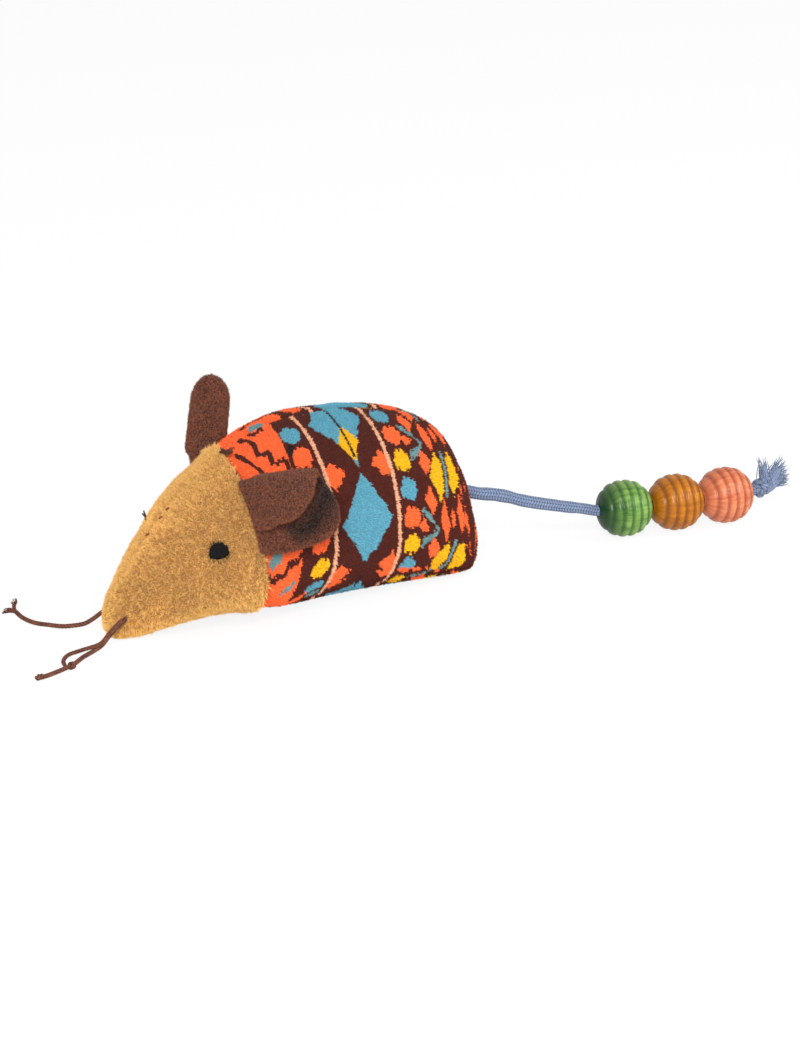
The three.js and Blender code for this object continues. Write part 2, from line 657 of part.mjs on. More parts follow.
function tuft() {
  const flutes = 5;
  const around = 20;
  const profileShares = [[0, 0], [0.25, 0.35], [0.6, 0.75], [0.85, 1], [1, 0.92]];
  const start = endKnotCentre.clone().addScaledVector(tuftDirection, endKnotWidth / 2 + seatGap);
  const side = new THREE.Vector3(0, 1, 0);
  const up = new THREE.Vector3().crossVectors(side, tuftDirection).normalize();
  const rings = profileShares.map(([along, spread]) => {
    const ring = [];
    for (let i = 0; i < around; i++) {
      const angle = (2 * Math.PI * i) / around;
      const flute = 1 - 0.22 * spread * (1 - Math.cos(flutes * angle));
      const radius = (tuftNeck / 2 + (tuftWidth / 2 - tuftNeck / 2) * spread) * flute;
      ring.push(start.clone().addScaledVector(tuftDirection, along * tuftLength)
        .addScaledVector(side, radius * Math.cos(angle)).addScaledVector(up, radius * Math.sin(angle)));
    }
    return ring;
  });
  return geometryOf(solidOf(loft(rings.map((ring) => ring.reverse()))));
}

// The assembly
const mouse = new THREE.Group();

function add(name, geometry, material) {
  const mesh = new THREE.Mesh(geometry, material);
  mesh.name = name;
  mouse.add(mesh);
  return mesh;
}

for (const side of ['left', 'right']) {
  add(`${side}_head_panel`, headPanel(side), tanPlush);
  add(`${side}_body_panel`, bodyPanel(side), printPlush);
  add(`${side}_ear`, ear(side), brownFelt);
  add(`${side}_eye`, eye(side), blackThread);
}
add('base_panel', basePanel(), printPlush);
add('stuffing', geometryOf(stuffing()), whiteFibre);
add('catnip_fill', catnipFill(0), driedCatnip);

add('whisker_cord', tubeAlong(whiskerRoute, whiskerCord, cordSides, 44), whiskerCotton);
add('whisker_loop', tubeAlong(whiskerLoopRoute, whiskerCord, cordSides, 18), whiskerCotton);
add('whisker_knot', whiskerKnot(), whiskerCotton);
add('whisker_end_knot', whiskerEnd(), whiskerCotton);

add('tail_anchor_knot', roundKnot(anchorKnotWidth, anchorCentre, 1), tailCotton);
add('tail_cord', tubeAlong(tailPoints, tailCord, cordSides, 34), tailCotton);
['green_bead', 'ochre_bead', 'coral_bead'].forEach((name, index) => {
  add(name, placedBead(index), [greenLacquer, ochreLacquer, coralLacquer][index]);
});
add('tail_end_knot', roundKnot(endKnotWidth, endKnotCentre, 1), tailCotton);
add('tail_tuft', tuft(), tailCotton);

export default mouse;
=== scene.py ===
"""A stuffed catnip mouse with a beaded cord tail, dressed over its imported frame.

Sizes are in millimetres and become metres when a mesh is made. The nose points to -X, the
left flank is on -Y and +Z is up. Cloth places are given as u, the distance behind the neck
seam, and v, the height up the flank, which is 37.8 at the spine.
"""

import logging
import random
from bisect import bisect_left, bisect_right
from dataclasses import dataclass, field
from enum import Enum
from itertools import accumulate
from math import acos, copysign, cos, exp, hypot, pi, radians, sin, sqrt
from typing import Callable, Iterable, Sequence

import bmesh
import bpy
from mathutils import Matrix, Quaternion, Vector, noise
from mathutils.kdtree import KDTree


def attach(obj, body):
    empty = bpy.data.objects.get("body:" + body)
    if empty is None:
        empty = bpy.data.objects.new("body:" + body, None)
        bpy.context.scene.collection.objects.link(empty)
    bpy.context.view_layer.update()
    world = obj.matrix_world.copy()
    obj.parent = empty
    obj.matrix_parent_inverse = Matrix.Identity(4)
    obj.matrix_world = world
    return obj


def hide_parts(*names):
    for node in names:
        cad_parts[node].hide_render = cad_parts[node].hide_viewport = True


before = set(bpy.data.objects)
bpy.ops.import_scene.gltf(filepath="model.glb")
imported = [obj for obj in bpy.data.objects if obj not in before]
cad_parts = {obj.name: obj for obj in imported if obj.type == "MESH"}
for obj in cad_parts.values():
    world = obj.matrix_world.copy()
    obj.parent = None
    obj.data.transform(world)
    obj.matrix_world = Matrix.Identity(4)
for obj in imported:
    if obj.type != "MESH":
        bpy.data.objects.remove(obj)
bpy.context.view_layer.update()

MM = 0.001
CLOTH_TOP = 37.8
TAU = 2 * pi
LOG = logging.getLogger("mouse")

Thing = bpy.types.Object
Material = bpy.types.Material
Socket = bpy.types.NodeSocket
Number = "Amount | float"
Pair = tuple[float, float]
Triple = tuple[float, float, float]
Colour = tuple[float, float, float, float]
Table = tuple[Pair, ...]
Rows = list[list[Vector]]
Relief = Callable[[float, float], float]
Cut = tuple[Rows, list[list[Pair]]]


class Side(Enum):
    """A flank of the mouse, with the sign of its Y."""

    LEFT = -1
    RIGHT = 1

    @property
    def word(self) -> str:
        """Give the side's name as the nodes spell it."""
        return self.name.lower()


def follow(table: Table, place: float) -> float:
    """Read a smooth curve through a table.

    Args:
        table: Pairs of a place and the value there.
        place: Where to read it.

    Returns:
        The value, on a cubic whose slopes come from the neighbours.
    """
    last = len(table) - 1
    if place <= table[0][0]:
        return table[0][1]
    if place >= table[last][0]:
        return table[last][1]
    i = next(k for k in range(last + 1) if table[k][0] > place) - 1

    def slope(k: int) -> float:
        """Slope between the neighbours of one entry."""
        before, after = table[max(k - 1, 0)], table[min(k + 1, last)]
        return (after[1] - before[1]) / (after[0] - before[0])

    span = table[i + 1][0] - table[i][0]
    t = (place - table[i][0]) / span
    blend = t * t * (3 - 2 * t)
    rise = t * (1 - t) ** 2 * slope(i) - t * t * (1 - t) * slope(i + 1)
    return table[i][1] + (table[i + 1][1] - table[i][1]) * blend + span * rise


def read(target: float, keys: Sequence[float], values: Sequence) -> "float | Vector":
    """Read a list of values at a place between its rising keys.

    Args:
        target: The place.
        keys: The places of the values.
        values: Numbers or vectors.

    Returns:
        The value there.
    """
    k = min(max(bisect_left(keys, target), 1), len(keys) - 1)
    t = (target - keys[k - 1]) / max(keys[k] - keys[k - 1], 1e-9)
    return values[k - 1] + (values[k] - values[k - 1]) * min(max(t, 0.0), 1.0)


def measured(points: Sequence[Vector]) -> list[float]:
    """Give the distance along a line at each of its points."""
    return [0.0, *accumulate((after - before).length for before, after in zip(points, points[1:]))]


def linear(red: int, green: int, blue: int) -> Colour:
    """Turn a colour of 0 to 255 as seen on a screen into the renderer's own.

    Args:
        red: Its red.
        green: Its green.
        blue: Its blue.

    Returns:
        The colour, opaque.
    """
    def channel(value: int) -> float:
        """Undo the screen's curve for one channel."""
        share = value / 255
        return share / 12.92 if share <= 0.04045 else ((share + 0.055) / 1.055) ** 2.4

    return channel(red), channel(green), channel(blue), 1.0


def through(operation: str) -> Callable[..., "Amount"]:
    """Make a method of amounts that adds one Math node.

    Args:
        operation: The node's operation.

    Returns:
        The method, which takes what goes into the node's other inputs.
    """
    def method(amount: "Amount", *others: Number) -> "Amount":
        """Add the node and give its result.

        Args:
            amount: What goes into its first input.
            others: What goes into the others.

        Returns:
            The result.
        """
        tree = amount.tree
        node = tree.nodes.new("ShaderNodeMath")
        node.operation = operation
        for place, value in enumerate((amount, *others)):
            if isinstance(value, Amount):
                tree.links.new(value.socket, node.inputs[place])
            else:
                node.inputs[place].default_value = value
        return Amount(tree, node.outputs[0])

    return method


class Amount:
    """A number that a node tree works out, written as plain arithmetic.

    Least and most give the smaller and the larger of two, below and above 1 where that holds and 0 elsewhere.
    """

    def __init__(self, tree: bpy.types.NodeTree, socket: Socket) -> None:
        """Wrap an output socket of a tree."""
        self.tree, self.socket = tree, socket

    __add__ = __radd__ = through("ADD")
    __sub__ = through("SUBTRACT")
    __mul__ = __rmul__ = through("MULTIPLY")
    __truediv__ = through("DIVIDE")
    __abs__ = through("ABSOLUTE")
    least, most = through("MINIMUM"), through("MAXIMUM")
    below, above = through("LESS_THAN"), through("GREATER_THAN")
    floored, rounded = through("FLOOR"), through("ROUND")
    sine, cosine = through("SINE"), through("COSINE")
    root, to_power = through("SQRT"), through("POWER")

    def __rsub__(self, other: float) -> "Amount":
        """Take this from a plain number."""
        return self * -1.0 + other

    def wrapped(self, low: float, high: float) -> "Amount":
        """Bring into a range by whole turns of its length."""
        return through("WRAP")(self, high, low)


class Draft:
    """A node tree being drawn up, for a finish or for a rule-based piece."""

    def __init__(self, tree: bpy.types.NodeTree) -> None:
        """Start on an empty tree."""
        self.tree = tree

    def node(self, kind: str, values: dict | None = None, **settings: object) -> bpy.types.Node:
        """Add a node.

        Args:
            kind: The node's type name.
            values: What goes into its inputs, by name or number: a socket, an amount or a value.
            settings: The node's own settings.

        Returns:
            The new node.
        """
        made = self.tree.nodes.new(kind)
        for name, value in settings.items():
            setattr(made, name, value)
        for name, value in (values or {}).items():
            source = value.socket if isinstance(value, Amount) else value
            if isinstance(source, Socket):
                self.tree.links.new(source, made.inputs[name])
            else:
                made.inputs[name].default_value = source
        return made

    def out(self, kind: str, values: dict | None = None, place: int | str = 0, **settings: object) -> Socket:
        """Add a node and give one of its outputs."""
        return self.node(kind, values, **settings).outputs[place]

    def amount(self, socket: Socket) -> Amount:
        """Wrap a socket for arithmetic."""
        return Amount(self.tree, socket)

    def split(self, vector: Socket) -> tuple[Amount, ...]:
        """Take a vector apart into three amounts."""
        parts = self.node("ShaderNodeSeparateXYZ", {0: vector})
        return tuple(self.amount(part) for part in parts.outputs)

    def joined(self, x: Number, y: Number, z: Number) -> Socket:
        """Make a vector of three amounts."""
        return self.out("ShaderNodeCombineXYZ", {0: x, 1: y, 2: z})

    def vector(self, operation: str, first: object, second: object, place: int | str = 0) -> Socket:
        """Add a Vector Math node and give its result."""
        return self.out("ShaderNodeVectorMath", {0: first, 1: second}, place, operation=operation)

    def rays(self, *kinds: str) -> Amount:
        """Give 1 on rays of the kinds named and 0 on others.

        Args:
            kinds: The rays' kinds.

        Returns:
            The share.
        """
        path = self.node("ShaderNodeLightPath")
        share, *others = (self.amount(path.outputs[f"Is {kind} Ray"]) for kind in kinds)
        for other in others:
            share = share.most(other)
        return share

    def scaled(self, vector: object, by: object) -> Socket:
        """Stretch a vector."""
        return self.out("ShaderNodeVectorMath", {0: vector, "Scale": by}, operation="SCALE")


class Recipe(Draft):
    """A material being drawn up, with the few nodes that most finishes share."""

    def __init__(self, name: str) -> None:
        """Make the material with one principled shader.

        Args:
            name: The material's name.
        """
        self.material = bpy.data.materials.new(name)
        self.material.use_nodes = True
        super().__init__(self.material.node_tree)
        self.tree.nodes.clear()
        self.shader = self.node("ShaderNodeBsdfPrincipled")
        self.output = self.node("ShaderNodeOutputMaterial", {"Surface": self.shader.outputs[0]})
        place = self.out("ShaderNodeTexCoord", place="Object")
        self.place = self.vector("MULTIPLY", place, (1 / MM, 1 / MM, 1 / MM))

    def reads(self, name: str) -> Amount:
        """Read a number that the piece's points carry."""
        return self.amount(self.out("ShaderNodeAttribute", place="Fac", attribute_name=name))

    def carried(self, name: str) -> tuple[Amount, ...]:
        """Read a vector that the piece's points carry."""
        return self.split(self.out("ShaderNodeAttribute", place="Vector", attribute_name=name))

    def noise(self, scale: float, detail: float = 2.0, where: Socket | None = None) -> Amount:
        """Add noise from 0 to 1 with a number of cells to the millimetre, at the piece's or another place."""
        values = {"Vector": where or self.place, "Scale": scale, "Detail": detail, "Roughness": 0.6}
        return self.amount(self.out("ShaderNodeTexNoise", values))

    def chance(self, where: Amount) -> Amount:
        """Give a random number from 0 to 1 for each whole number."""
        return self.amount(self.out("ShaderNodeTexWhiteNoise", {"W": where}, noise_dimensions="1D"))

    def ranged(self, amount: Amount, low: float, high: float, to: Pair = (0.0, 1.0)) -> Amount:
        """Stretch a range of an amount onto another, held at its ends."""
        return self.amount(self.out("ShaderNodeMapRange", {0: amount, 1: low, 2: high, 3: to[0], 4: to[1]}))

    def mixed(self, share: Number, under: object, over: object) -> Socket:
        """Lay one colour over another by the share that shows of it."""
        return self.out("ShaderNodeMix", {"Factor": share, 6: under, 7: over}, 2, data_type="RGBA")

    def dimmed(self, colour: object, strength: Amount) -> Socket:
        """Make a colour darker or lighter by an amount."""
        return self.vector("MULTIPLY", colour, self.joined(strength, strength, strength))

    def bumped(self, height: Amount, depth: float, strength: float = 1.0) -> None:
        """Give the shader relief from a height, with its depth in millimetres."""
        bump = self.out("ShaderNodeBump", {"Height": height, "Distance": depth * MM, "Strength": strength})
        self.tree.links.new(bump, self.shader.inputs["Normal"])

    def finished(self, colour: object, **surface: float) -> Material:
        """Set the colour and the shader's plain values.

        Args:
            colour: The base colour, as a socket or four numbers.
            surface: Values for the shader's sockets, with underscores for spaces.

        Returns:
            The finished material.
        """
        if isinstance(colour, Socket):
            self.tree.links.new(colour, self.shader.inputs["Base Color"])
        else:
            self.shader.inputs["Base Color"].default_value = colour
        for name, value in surface.items():
            self.shader.inputs[name.replace("_", " ")].default_value = value
        return self.material


@dataclass(frozen=True)
class PlushFinish:
    """Tan plush with short, nubby pile."""

    name: str = "tan_plush"
    # The deep tan is used only for the painted shade at the fibres' roots.
    deep: Colour = linear(146, 97, 36)
    middle: Colour = linear(207, 151, 70)
    light: Colour = linear(238, 194, 118)

    def made(self) -> Material:
        """Make the material.

        Returns:
            The material.
        """
        recipe = Recipe(self.name)
        strand = recipe.reads("strand")
        tip = recipe.reads("tip")
        clump = recipe.noise(1.1, 3.0)
        patch = recipe.noise(0.12, 2.0)
        tone = recipe.ranged(clump * 0.65 + strand * 0.35, 0.3, 0.7)
        colour = recipe.mixed(tone, self.middle, self.light)
        # Painted shade: each fibre darkens towards its root, as if shaded by the pile round it.
        colour = recipe.mixed(recipe.ranged(tip, 0.0, 0.7, (0.8, 0.0)), colour, self.deep)
        colour = recipe.dimmed(colour, recipe.ranged(patch, 0.3, 0.7, (0.93, 1.06)))
        return recipe.finished(colour, Roughness=0.95, Specular_IOR_Level=0.15, Sheen_Weight=0.1)


@dataclass(frozen=True)
class FeltFinish:
    """Brown wool felt, matted and a little hairy."""

    name: str = "brown_felt"
    dark: Colour = linear(56, 28, 19)
    light: Colour = linear(140, 78, 51)

    def made(self) -> Material:
        """Make the material.

        Returns:
            The material.
        """
        recipe = Recipe(self.name)
        fine = recipe.noise(1.9, 4.0)
        coarse = recipe.noise(0.5, 3.0)
        hollow = recipe.reads("hollow")
        strand = recipe.reads("strand")
        tone = recipe.ranged(fine * 0.5 + coarse * 0.2 + strand * 0.3, 0.34, 0.66)
        recipe.bumped(fine, 0.25, 0.7)
        colour = recipe.mixed(tone, self.dark, self.light)
        # Painted shade: the felt darkens, down to a tenth, where the ear's fold covers its inner face.
        colour = recipe.dimmed(colour, recipe.ranged(hollow, 0.0, 1.0, (1.0, 0.1)))
        return recipe.finished(colour, Roughness=1.0, Specular_IOR_Level=0.1, Sheen_Weight=0.15)


@dataclass(frozen=True)
class CottonFinish:
    """Dyed cotton thread or cord, with painted shade between its strands."""

    name: str
    groove: Colour
    crest: Colour
    roughness: float = 0.85
    mottle: float = 0.12
    sheen: float = 0.1
    grain: float = 7.0

    def made(self) -> Material:
        """Make the material.

        Returns:
            The material.
        """
        recipe = Recipe(self.name)
        relief = recipe.reads("relief")
        fine = recipe.noise(self.grain, 3.0)
        wide = recipe.noise(0.6, 2.0)
        # Painted shade: the groove colour lies between the plies or stitches and the crest colour on them.
        colour = recipe.mixed(recipe.ranged(relief, 0.1, 0.75), self.groove, self.crest)
        strength = recipe.ranged(fine * 0.6 + wide * 0.4, 0.3, 0.7, (1 - self.mottle, 1 + self.mottle))
        recipe.bumped(fine, 0.06, 0.6)
        colour = recipe.dimmed(colour, strength)
        return recipe.finished(
            colour, Roughness=self.roughness, Specular_IOR_Level=0.15, Sheen_Weight=self.sheen)


@dataclass(frozen=True)
class LacquerFinish:
    """Stained wood under clear lacquer, with the grain along the bore."""

    name: str
    deep: Colour
    stain: Colour
    pale: Colour
    # How far the painted shade and dark reflection darken the bead's end towards the mouse.
    painted_end_shade: float = 0.0

    def made(self) -> Material:
        """Make the material.

        Returns:
            The material.
        """
        recipe = Recipe(self.name)
        along, around, groove = recipe.carried("turned")
        line = recipe.joined(along * 0.16, around.cosine() * 3.6, around.sine() * 3.6)
        grain = recipe.noise(1.6, 5.0, line)
        pore = recipe.joined(along * 0.35, around.cosine() * 6.0, around.sine() * 6.0)
        pores = recipe.noise(4.2, 3.0, pore)
        colour = recipe.mixed(recipe.ranged(grain, 0.36, 0.66), self.stain, self.pale)
        colour = recipe.mixed(recipe.ranged(pores, 0.56, 0.7, (0.0, 0.28)), colour, self.deep)
        # Painted shade: the grooves between the ridges darken towards the deep colour.
        colour = recipe.mixed(recipe.ranged(groove, 0.1, 1.0, (0.0, 0.66)), colour, self.deep)
        # Painted shade and reflection: the end towards the mouse darkens towards the deep colour.
        if self.painted_end_shade:
            end = recipe.ranged(along * -1.0, 0.0, 5.2, (0.0, self.painted_end_shade))
            colour = recipe.mixed(end, colour, self.deep)
        recipe.bumped(pores, 0.05, 0.35)
        return recipe.finished(
            colour, Roughness=0.5, Specular_IOR_Level=0.15, Coat_Weight=0.2, Coat_Roughness=0.17)


@dataclass(frozen=True)
class FillFinish:
    """Loose filling: fibre or dried leaf."""

    name: str
    dark: Colour
    light: Colour
    cells: float

    def made(self) -> Material:
        """Make the material.

        Returns:
            The material.
        """
        recipe = Recipe(self.name)
        patch = recipe.noise(self.cells, 4.0)
        recipe.bumped(patch, 0.3, 0.5)
        colour = recipe.mixed(recipe.ranged(patch, 0.3, 0.7), self.dark, self.light)
        return recipe.finished(colour, Roughness=1.0, Specular_IOR_Level=0.1)


class Paint:
    """A colour built up in layers over the places of the cloth."""

    def __init__(self, recipe: Recipe, ground: Colour, u: Amount, v: Amount) -> None:
        """Start on the ground dye, with the places that the layers are laid by."""
        self.recipe, self.colour, self.u, self.v = recipe, ground, u, v

    def lay(self, share: Amount, dye: object) -> None:
        """Lay a dye where the share is 1."""
        self.colour = self.recipe.mixed(share, self.colour, dye)

    def drawn(self, v: Amount, lines: tuple) -> Amount:
        """Give 1 on any of some bent lines and 0 elsewhere.

        Args:
            v: Height on the cloth.
            lines: Pairs of a half-width and the line's corners.

        Returns:
            The lines' share of the place.
        """
        recipe = self.recipe
        place = recipe.joined(self.u, v, 0.0)
        share = None
        for half, corners in lines:
            for start, end in zip(corners, corners[1:]):
                first, way = Vector((*start, 0.0)), Vector((end[0] - start[0], end[1] - start[1], 0.0))
                apart = recipe.vector("SUBTRACT", place, first)
                reach = recipe.vector("DOT_PRODUCT", apart, way / way.length_squared, "Value")
                foot = recipe.scaled(way, recipe.ranged(recipe.amount(reach), 0.0, 1.0))
                on_line = recipe.amount(recipe.vector("DISTANCE", apart, foot, "Value")).below(half)
                share = on_line if share is None else share.most(on_line)
        return share


@dataclass(frozen=True)
class PrintFinish:
    """Short plush printed with a woven-look pattern of diamonds, dots, stripes and leaves.

    All places are millimetres of flat cloth: u behind the neck seam, v up the flank.
    """

    name: str = "print_plush"
    brown: Colour = linear(80, 32, 23)
    orange: Colour = linear(246, 108, 56)
    blue: Colour = linear(94, 160, 180)
    slate: Colour = linear(108, 146, 148)
    yellow: Colour = linear(236, 180, 24)
    cream: Colour = linear(232, 174, 138)
    soot: Colour = linear(44, 24, 24)
    middle: float = 22.3
    shear: float = 0.09
    thread: float = 0.5
    tooth: float = 0.7
    wave: float = 0.35
    repeat: float = 47.5
    repeat_from: float = -4.0
    stripe_place: float = 7.35
    stripe_width: float = 0.8
    dot_place: float = 10.5
    dot_pitch: float = 5.9
    dot_start: float = 2.6
    dot_size: tuple = (1.95, 2.25)
    diamond_size: tuple = (5.85, 9.6)
    diamond_places: tuple = (9.4, 32.4)
    leaf_place: float = 26.0
    field_edge: float = 7.0
    rear_pitch: float = 18.25
    rear_middle: float = 6.6
    streak_start: float = 47.4
    zigzags: tuple = (
        (0.45, ((3.3, 38.7), (4.3, 36.9), (4.8, 35.5), (4.3, 32.3), (6.3, 30.8), (6.0, 28.8), (8.5, 27.6),
                (8.5, 25.7))),
        (0.28, ((1.5, 36.8), (2.0, 34.6), (2.5, 32.6), (4.0, 27.9))),
        (0.45, ((9.0, 41.0), (7.8, 39.9), (7.8, 37.7), (6.0, 37.3), (5.0, 39.5))),
        (0.55, ((7.3, 8.6), (6.5, 7.7), (4.5, 8.9), (4.0, 7.3), (2.5, 8.1), (0.5, 10.0))),
        (0.28, ((6.0, 3.0), (3.5, 3.0))),
    )
    arms: tuple = (
        (0.32, ((35.3, 3.7), (39.5, 0.0), (35.2, -4.0))), (0.62, ((35.9, 3.0), (37.2, 2.0))),
        (0.6, ((35.9, -3.1), (37.3, -2.0))),
    )
    lozenges: tuple = (
        (38.4, -4.7, (1.7, 3.3)), (37.9, -12.5, (1.6, 3.0)), (41.6, 2.1, (1.3, 4.7)),
        (46.6, 5.3, (1.3, 4.2)), (44.1, 3.3, (0.8, 2.4)), (35.6, 0.0, (1.3, 1.5)),
    )
    leaves: tuple = ((41.3, -7.2, (2.5, 5.3)), (45.3, -4.9, (2.5, 5.2)))
    leaf_height: float = -6.0
    vein_place: float = 43.2
    spots: tuple = (
        (2.3, 12.8, (1.6, 1.6), slate), (5.0, 2.5, (1.6, 0.9), slate), (12.5, 41.3, (1.5, 1.2), slate),
        (10.2, 28.9, (0.9, 0.9), soot),
    )
    half_kites: tuple = (20.2, -1.6, 43.5)
    dots_end: float = 35.4

    def kite(self, across: Amount, up: Amount, size: Pair) -> Amount:
        """Give how far a place is from a kite's middle, where 1 is its edge."""
        return abs(across) / size[0] + abs(up) / size[1]

    def pod(self, across: Amount, up: Amount, size: Pair) -> Amount:
        """Give the same for a shape between a kite and a box."""
        flat = (abs(across) / size[0]).most(abs(up) / size[1])
        return flat.most(self.kite(across, up, size) / 1.42)

    def rear_motifs(self, paint: Paint, high: Amount) -> None:
        """Lay the arrowheads, lozenges, leaves and streaks of the rear.

        Args:
            paint: The pattern so far.
            high: Height up the cloth before it was folded into the repeat.
        """
        def away(height: float) -> Amount:
            """Distance above a height, within the repeat."""
            return (paint.v - self.rear_middle - height).wrapped(-self.rear_pitch / 2, self.rear_pitch / 2)

        u, recipe = paint.u, paint.recipe
        for place, height, size in self.lozenges:
            paint.lay(self.kite(u - place, away(height), size).below(1.0), self.orange)
        paint.lay(paint.drawn(away(0.0), self.arms), self.slate)
        rise = away(self.leaf_height)
        lean = rise * 0.13 + (1.0 - high.above(9.0)) * rise * 0.2
        leaf_dye = recipe.mixed(high.above(31.0), self.yellow, self.orange)
        for place, height, size in self.leaves:
            shape = self.kite(u - place - lean, away(height), size)
            paint.lay(shape.below(1.18), self.brown)
            paint.lay(shape.below(1.0), leaf_dye)
        vein, reach = abs(u - self.vein_place - lean), abs(rise).below(5.0)
        paint.lay(vein.below(0.85) * reach, self.brown)
        paint.lay(vein.below(0.38) * reach, self.slate)
        comb = recipe.noise(1.0, 2.0, recipe.joined(u * 0.42, paint.v * 0.1, 0.0))
        paint.lay(comb.above(0.57) * u.above(self.streak_start), self.orange)

    def front_motifs(self, paint: Paint) -> None:
        """Lay the orange field of the front with its zigzags.

        Args:
            paint: The pattern so far.
        """
        u, v = paint.u, paint.v
        paint.lay((u - v * 0.08).below(self.field_edge), self.orange)
        paint.lay(paint.drawn(v, self.zigzags), self.brown)
        for place, height, size, dye in self.spots:
            paint.lay(self.pod(u - place, v - height, size).below(1.0), dye)

    def middle_motifs(self, paint: Paint) -> None:
        """Lay the half kites, dots, diamonds, leaf and stripes of the middle.

        Args:
            paint: The pattern so far.
        """
        u, v, recipe = paint.u, paint.v, paint.recipe
        offset = u - self.middle
        w = abs(offset)
        for height in self.half_kites:
            half = self.kite(w - 5.9, v - height, (2.9, 2.9))
            paint.lay(half.below(1.0) * w.below(self.stripe_place), self.orange)
        count = ((v - self.dot_start) / self.dot_pitch).rounded()
        across, up = w - self.dot_place, v - self.dot_start - count * self.dot_pitch
        free = 1.0 - v.above(self.dots_end) * u.below(self.middle)
        turn = count.wrapped(0.0, 3.0)
        dye = recipe.mixed(turn.above(0.5), self.yellow, self.orange)
        dye = recipe.mixed(turn.above(1.5), dye, self.blue)
        paint.lay(self.pod(across, up, self.dot_size).below(1.0) * free, dye)
        for height in self.diamond_places:
            paint.lay(self.kite(offset, v - height, self.diamond_size).below(1.0), self.blue)
        paint.lay(self.kite(offset, v - self.leaf_place + 4.0, (0.6, 2.4)).below(1.0), self.slate)
        paint.lay(self.kite(offset, v - self.leaf_place, (2.3, 4.6)).below(1.0), self.yellow)
        paint.lay(w.below(0.24) * v.above(22.4), self.soot)
        paint.lay(abs(w - self.stripe_place).below(self.stripe_width / 2), self.cream)

    def made(self) -> Material:
        """Make the material.

        Returns:
            The material.
        """
        recipe = Recipe(self.name)
        u, v, _ = recipe.carried("cloth")
        sway = recipe.noise(0.2, 2.0, recipe.joined(u, v, 3.0))
        other = recipe.noise(0.24, 2.0, recipe.joined(u, v, 9.0))
        thread = recipe.chance((u / self.thread).floored())
        ragged = recipe.chance((u / self.thread).floored() + (v / 2.4).floored() * 37.0)
        sheared = v - (u - self.middle) * self.shear
        sheared = sheared + (sway - 0.5) * (2 * self.wave)
        high = sheared + (thread * 0.5 + ragged * 0.5 - 0.5) * (2 * self.tooth)
        folded = high.wrapped(self.repeat_from, self.repeat_from + self.repeat)
        paint = Paint(recipe, self.brown, u + (other - 0.5) * self.wave, folded)
        self.front_motifs(paint)
        self.rear_motifs(paint, high)
        self.middle_motifs(paint)
        strand = recipe.reads("strand")
        tip = recipe.reads("tip")
        tone = recipe.ranged(recipe.noise(1.6, 3.0) * 0.6 + strand * 0.4, 0.3, 0.7, (0.87, 1.13))
        colour = recipe.dimmed(paint.colour, tone)
        # Painted shade: each fibre darkens towards its root, as if shaded by the pile round it.
        colour = recipe.dimmed(colour, recipe.ranged(tip, 0.0, 0.6, (0.72, 1.0)))
        return recipe.finished(colour, Roughness=0.9, Specular_IOR_Level=0.15, Sheen_Weight=0.05)


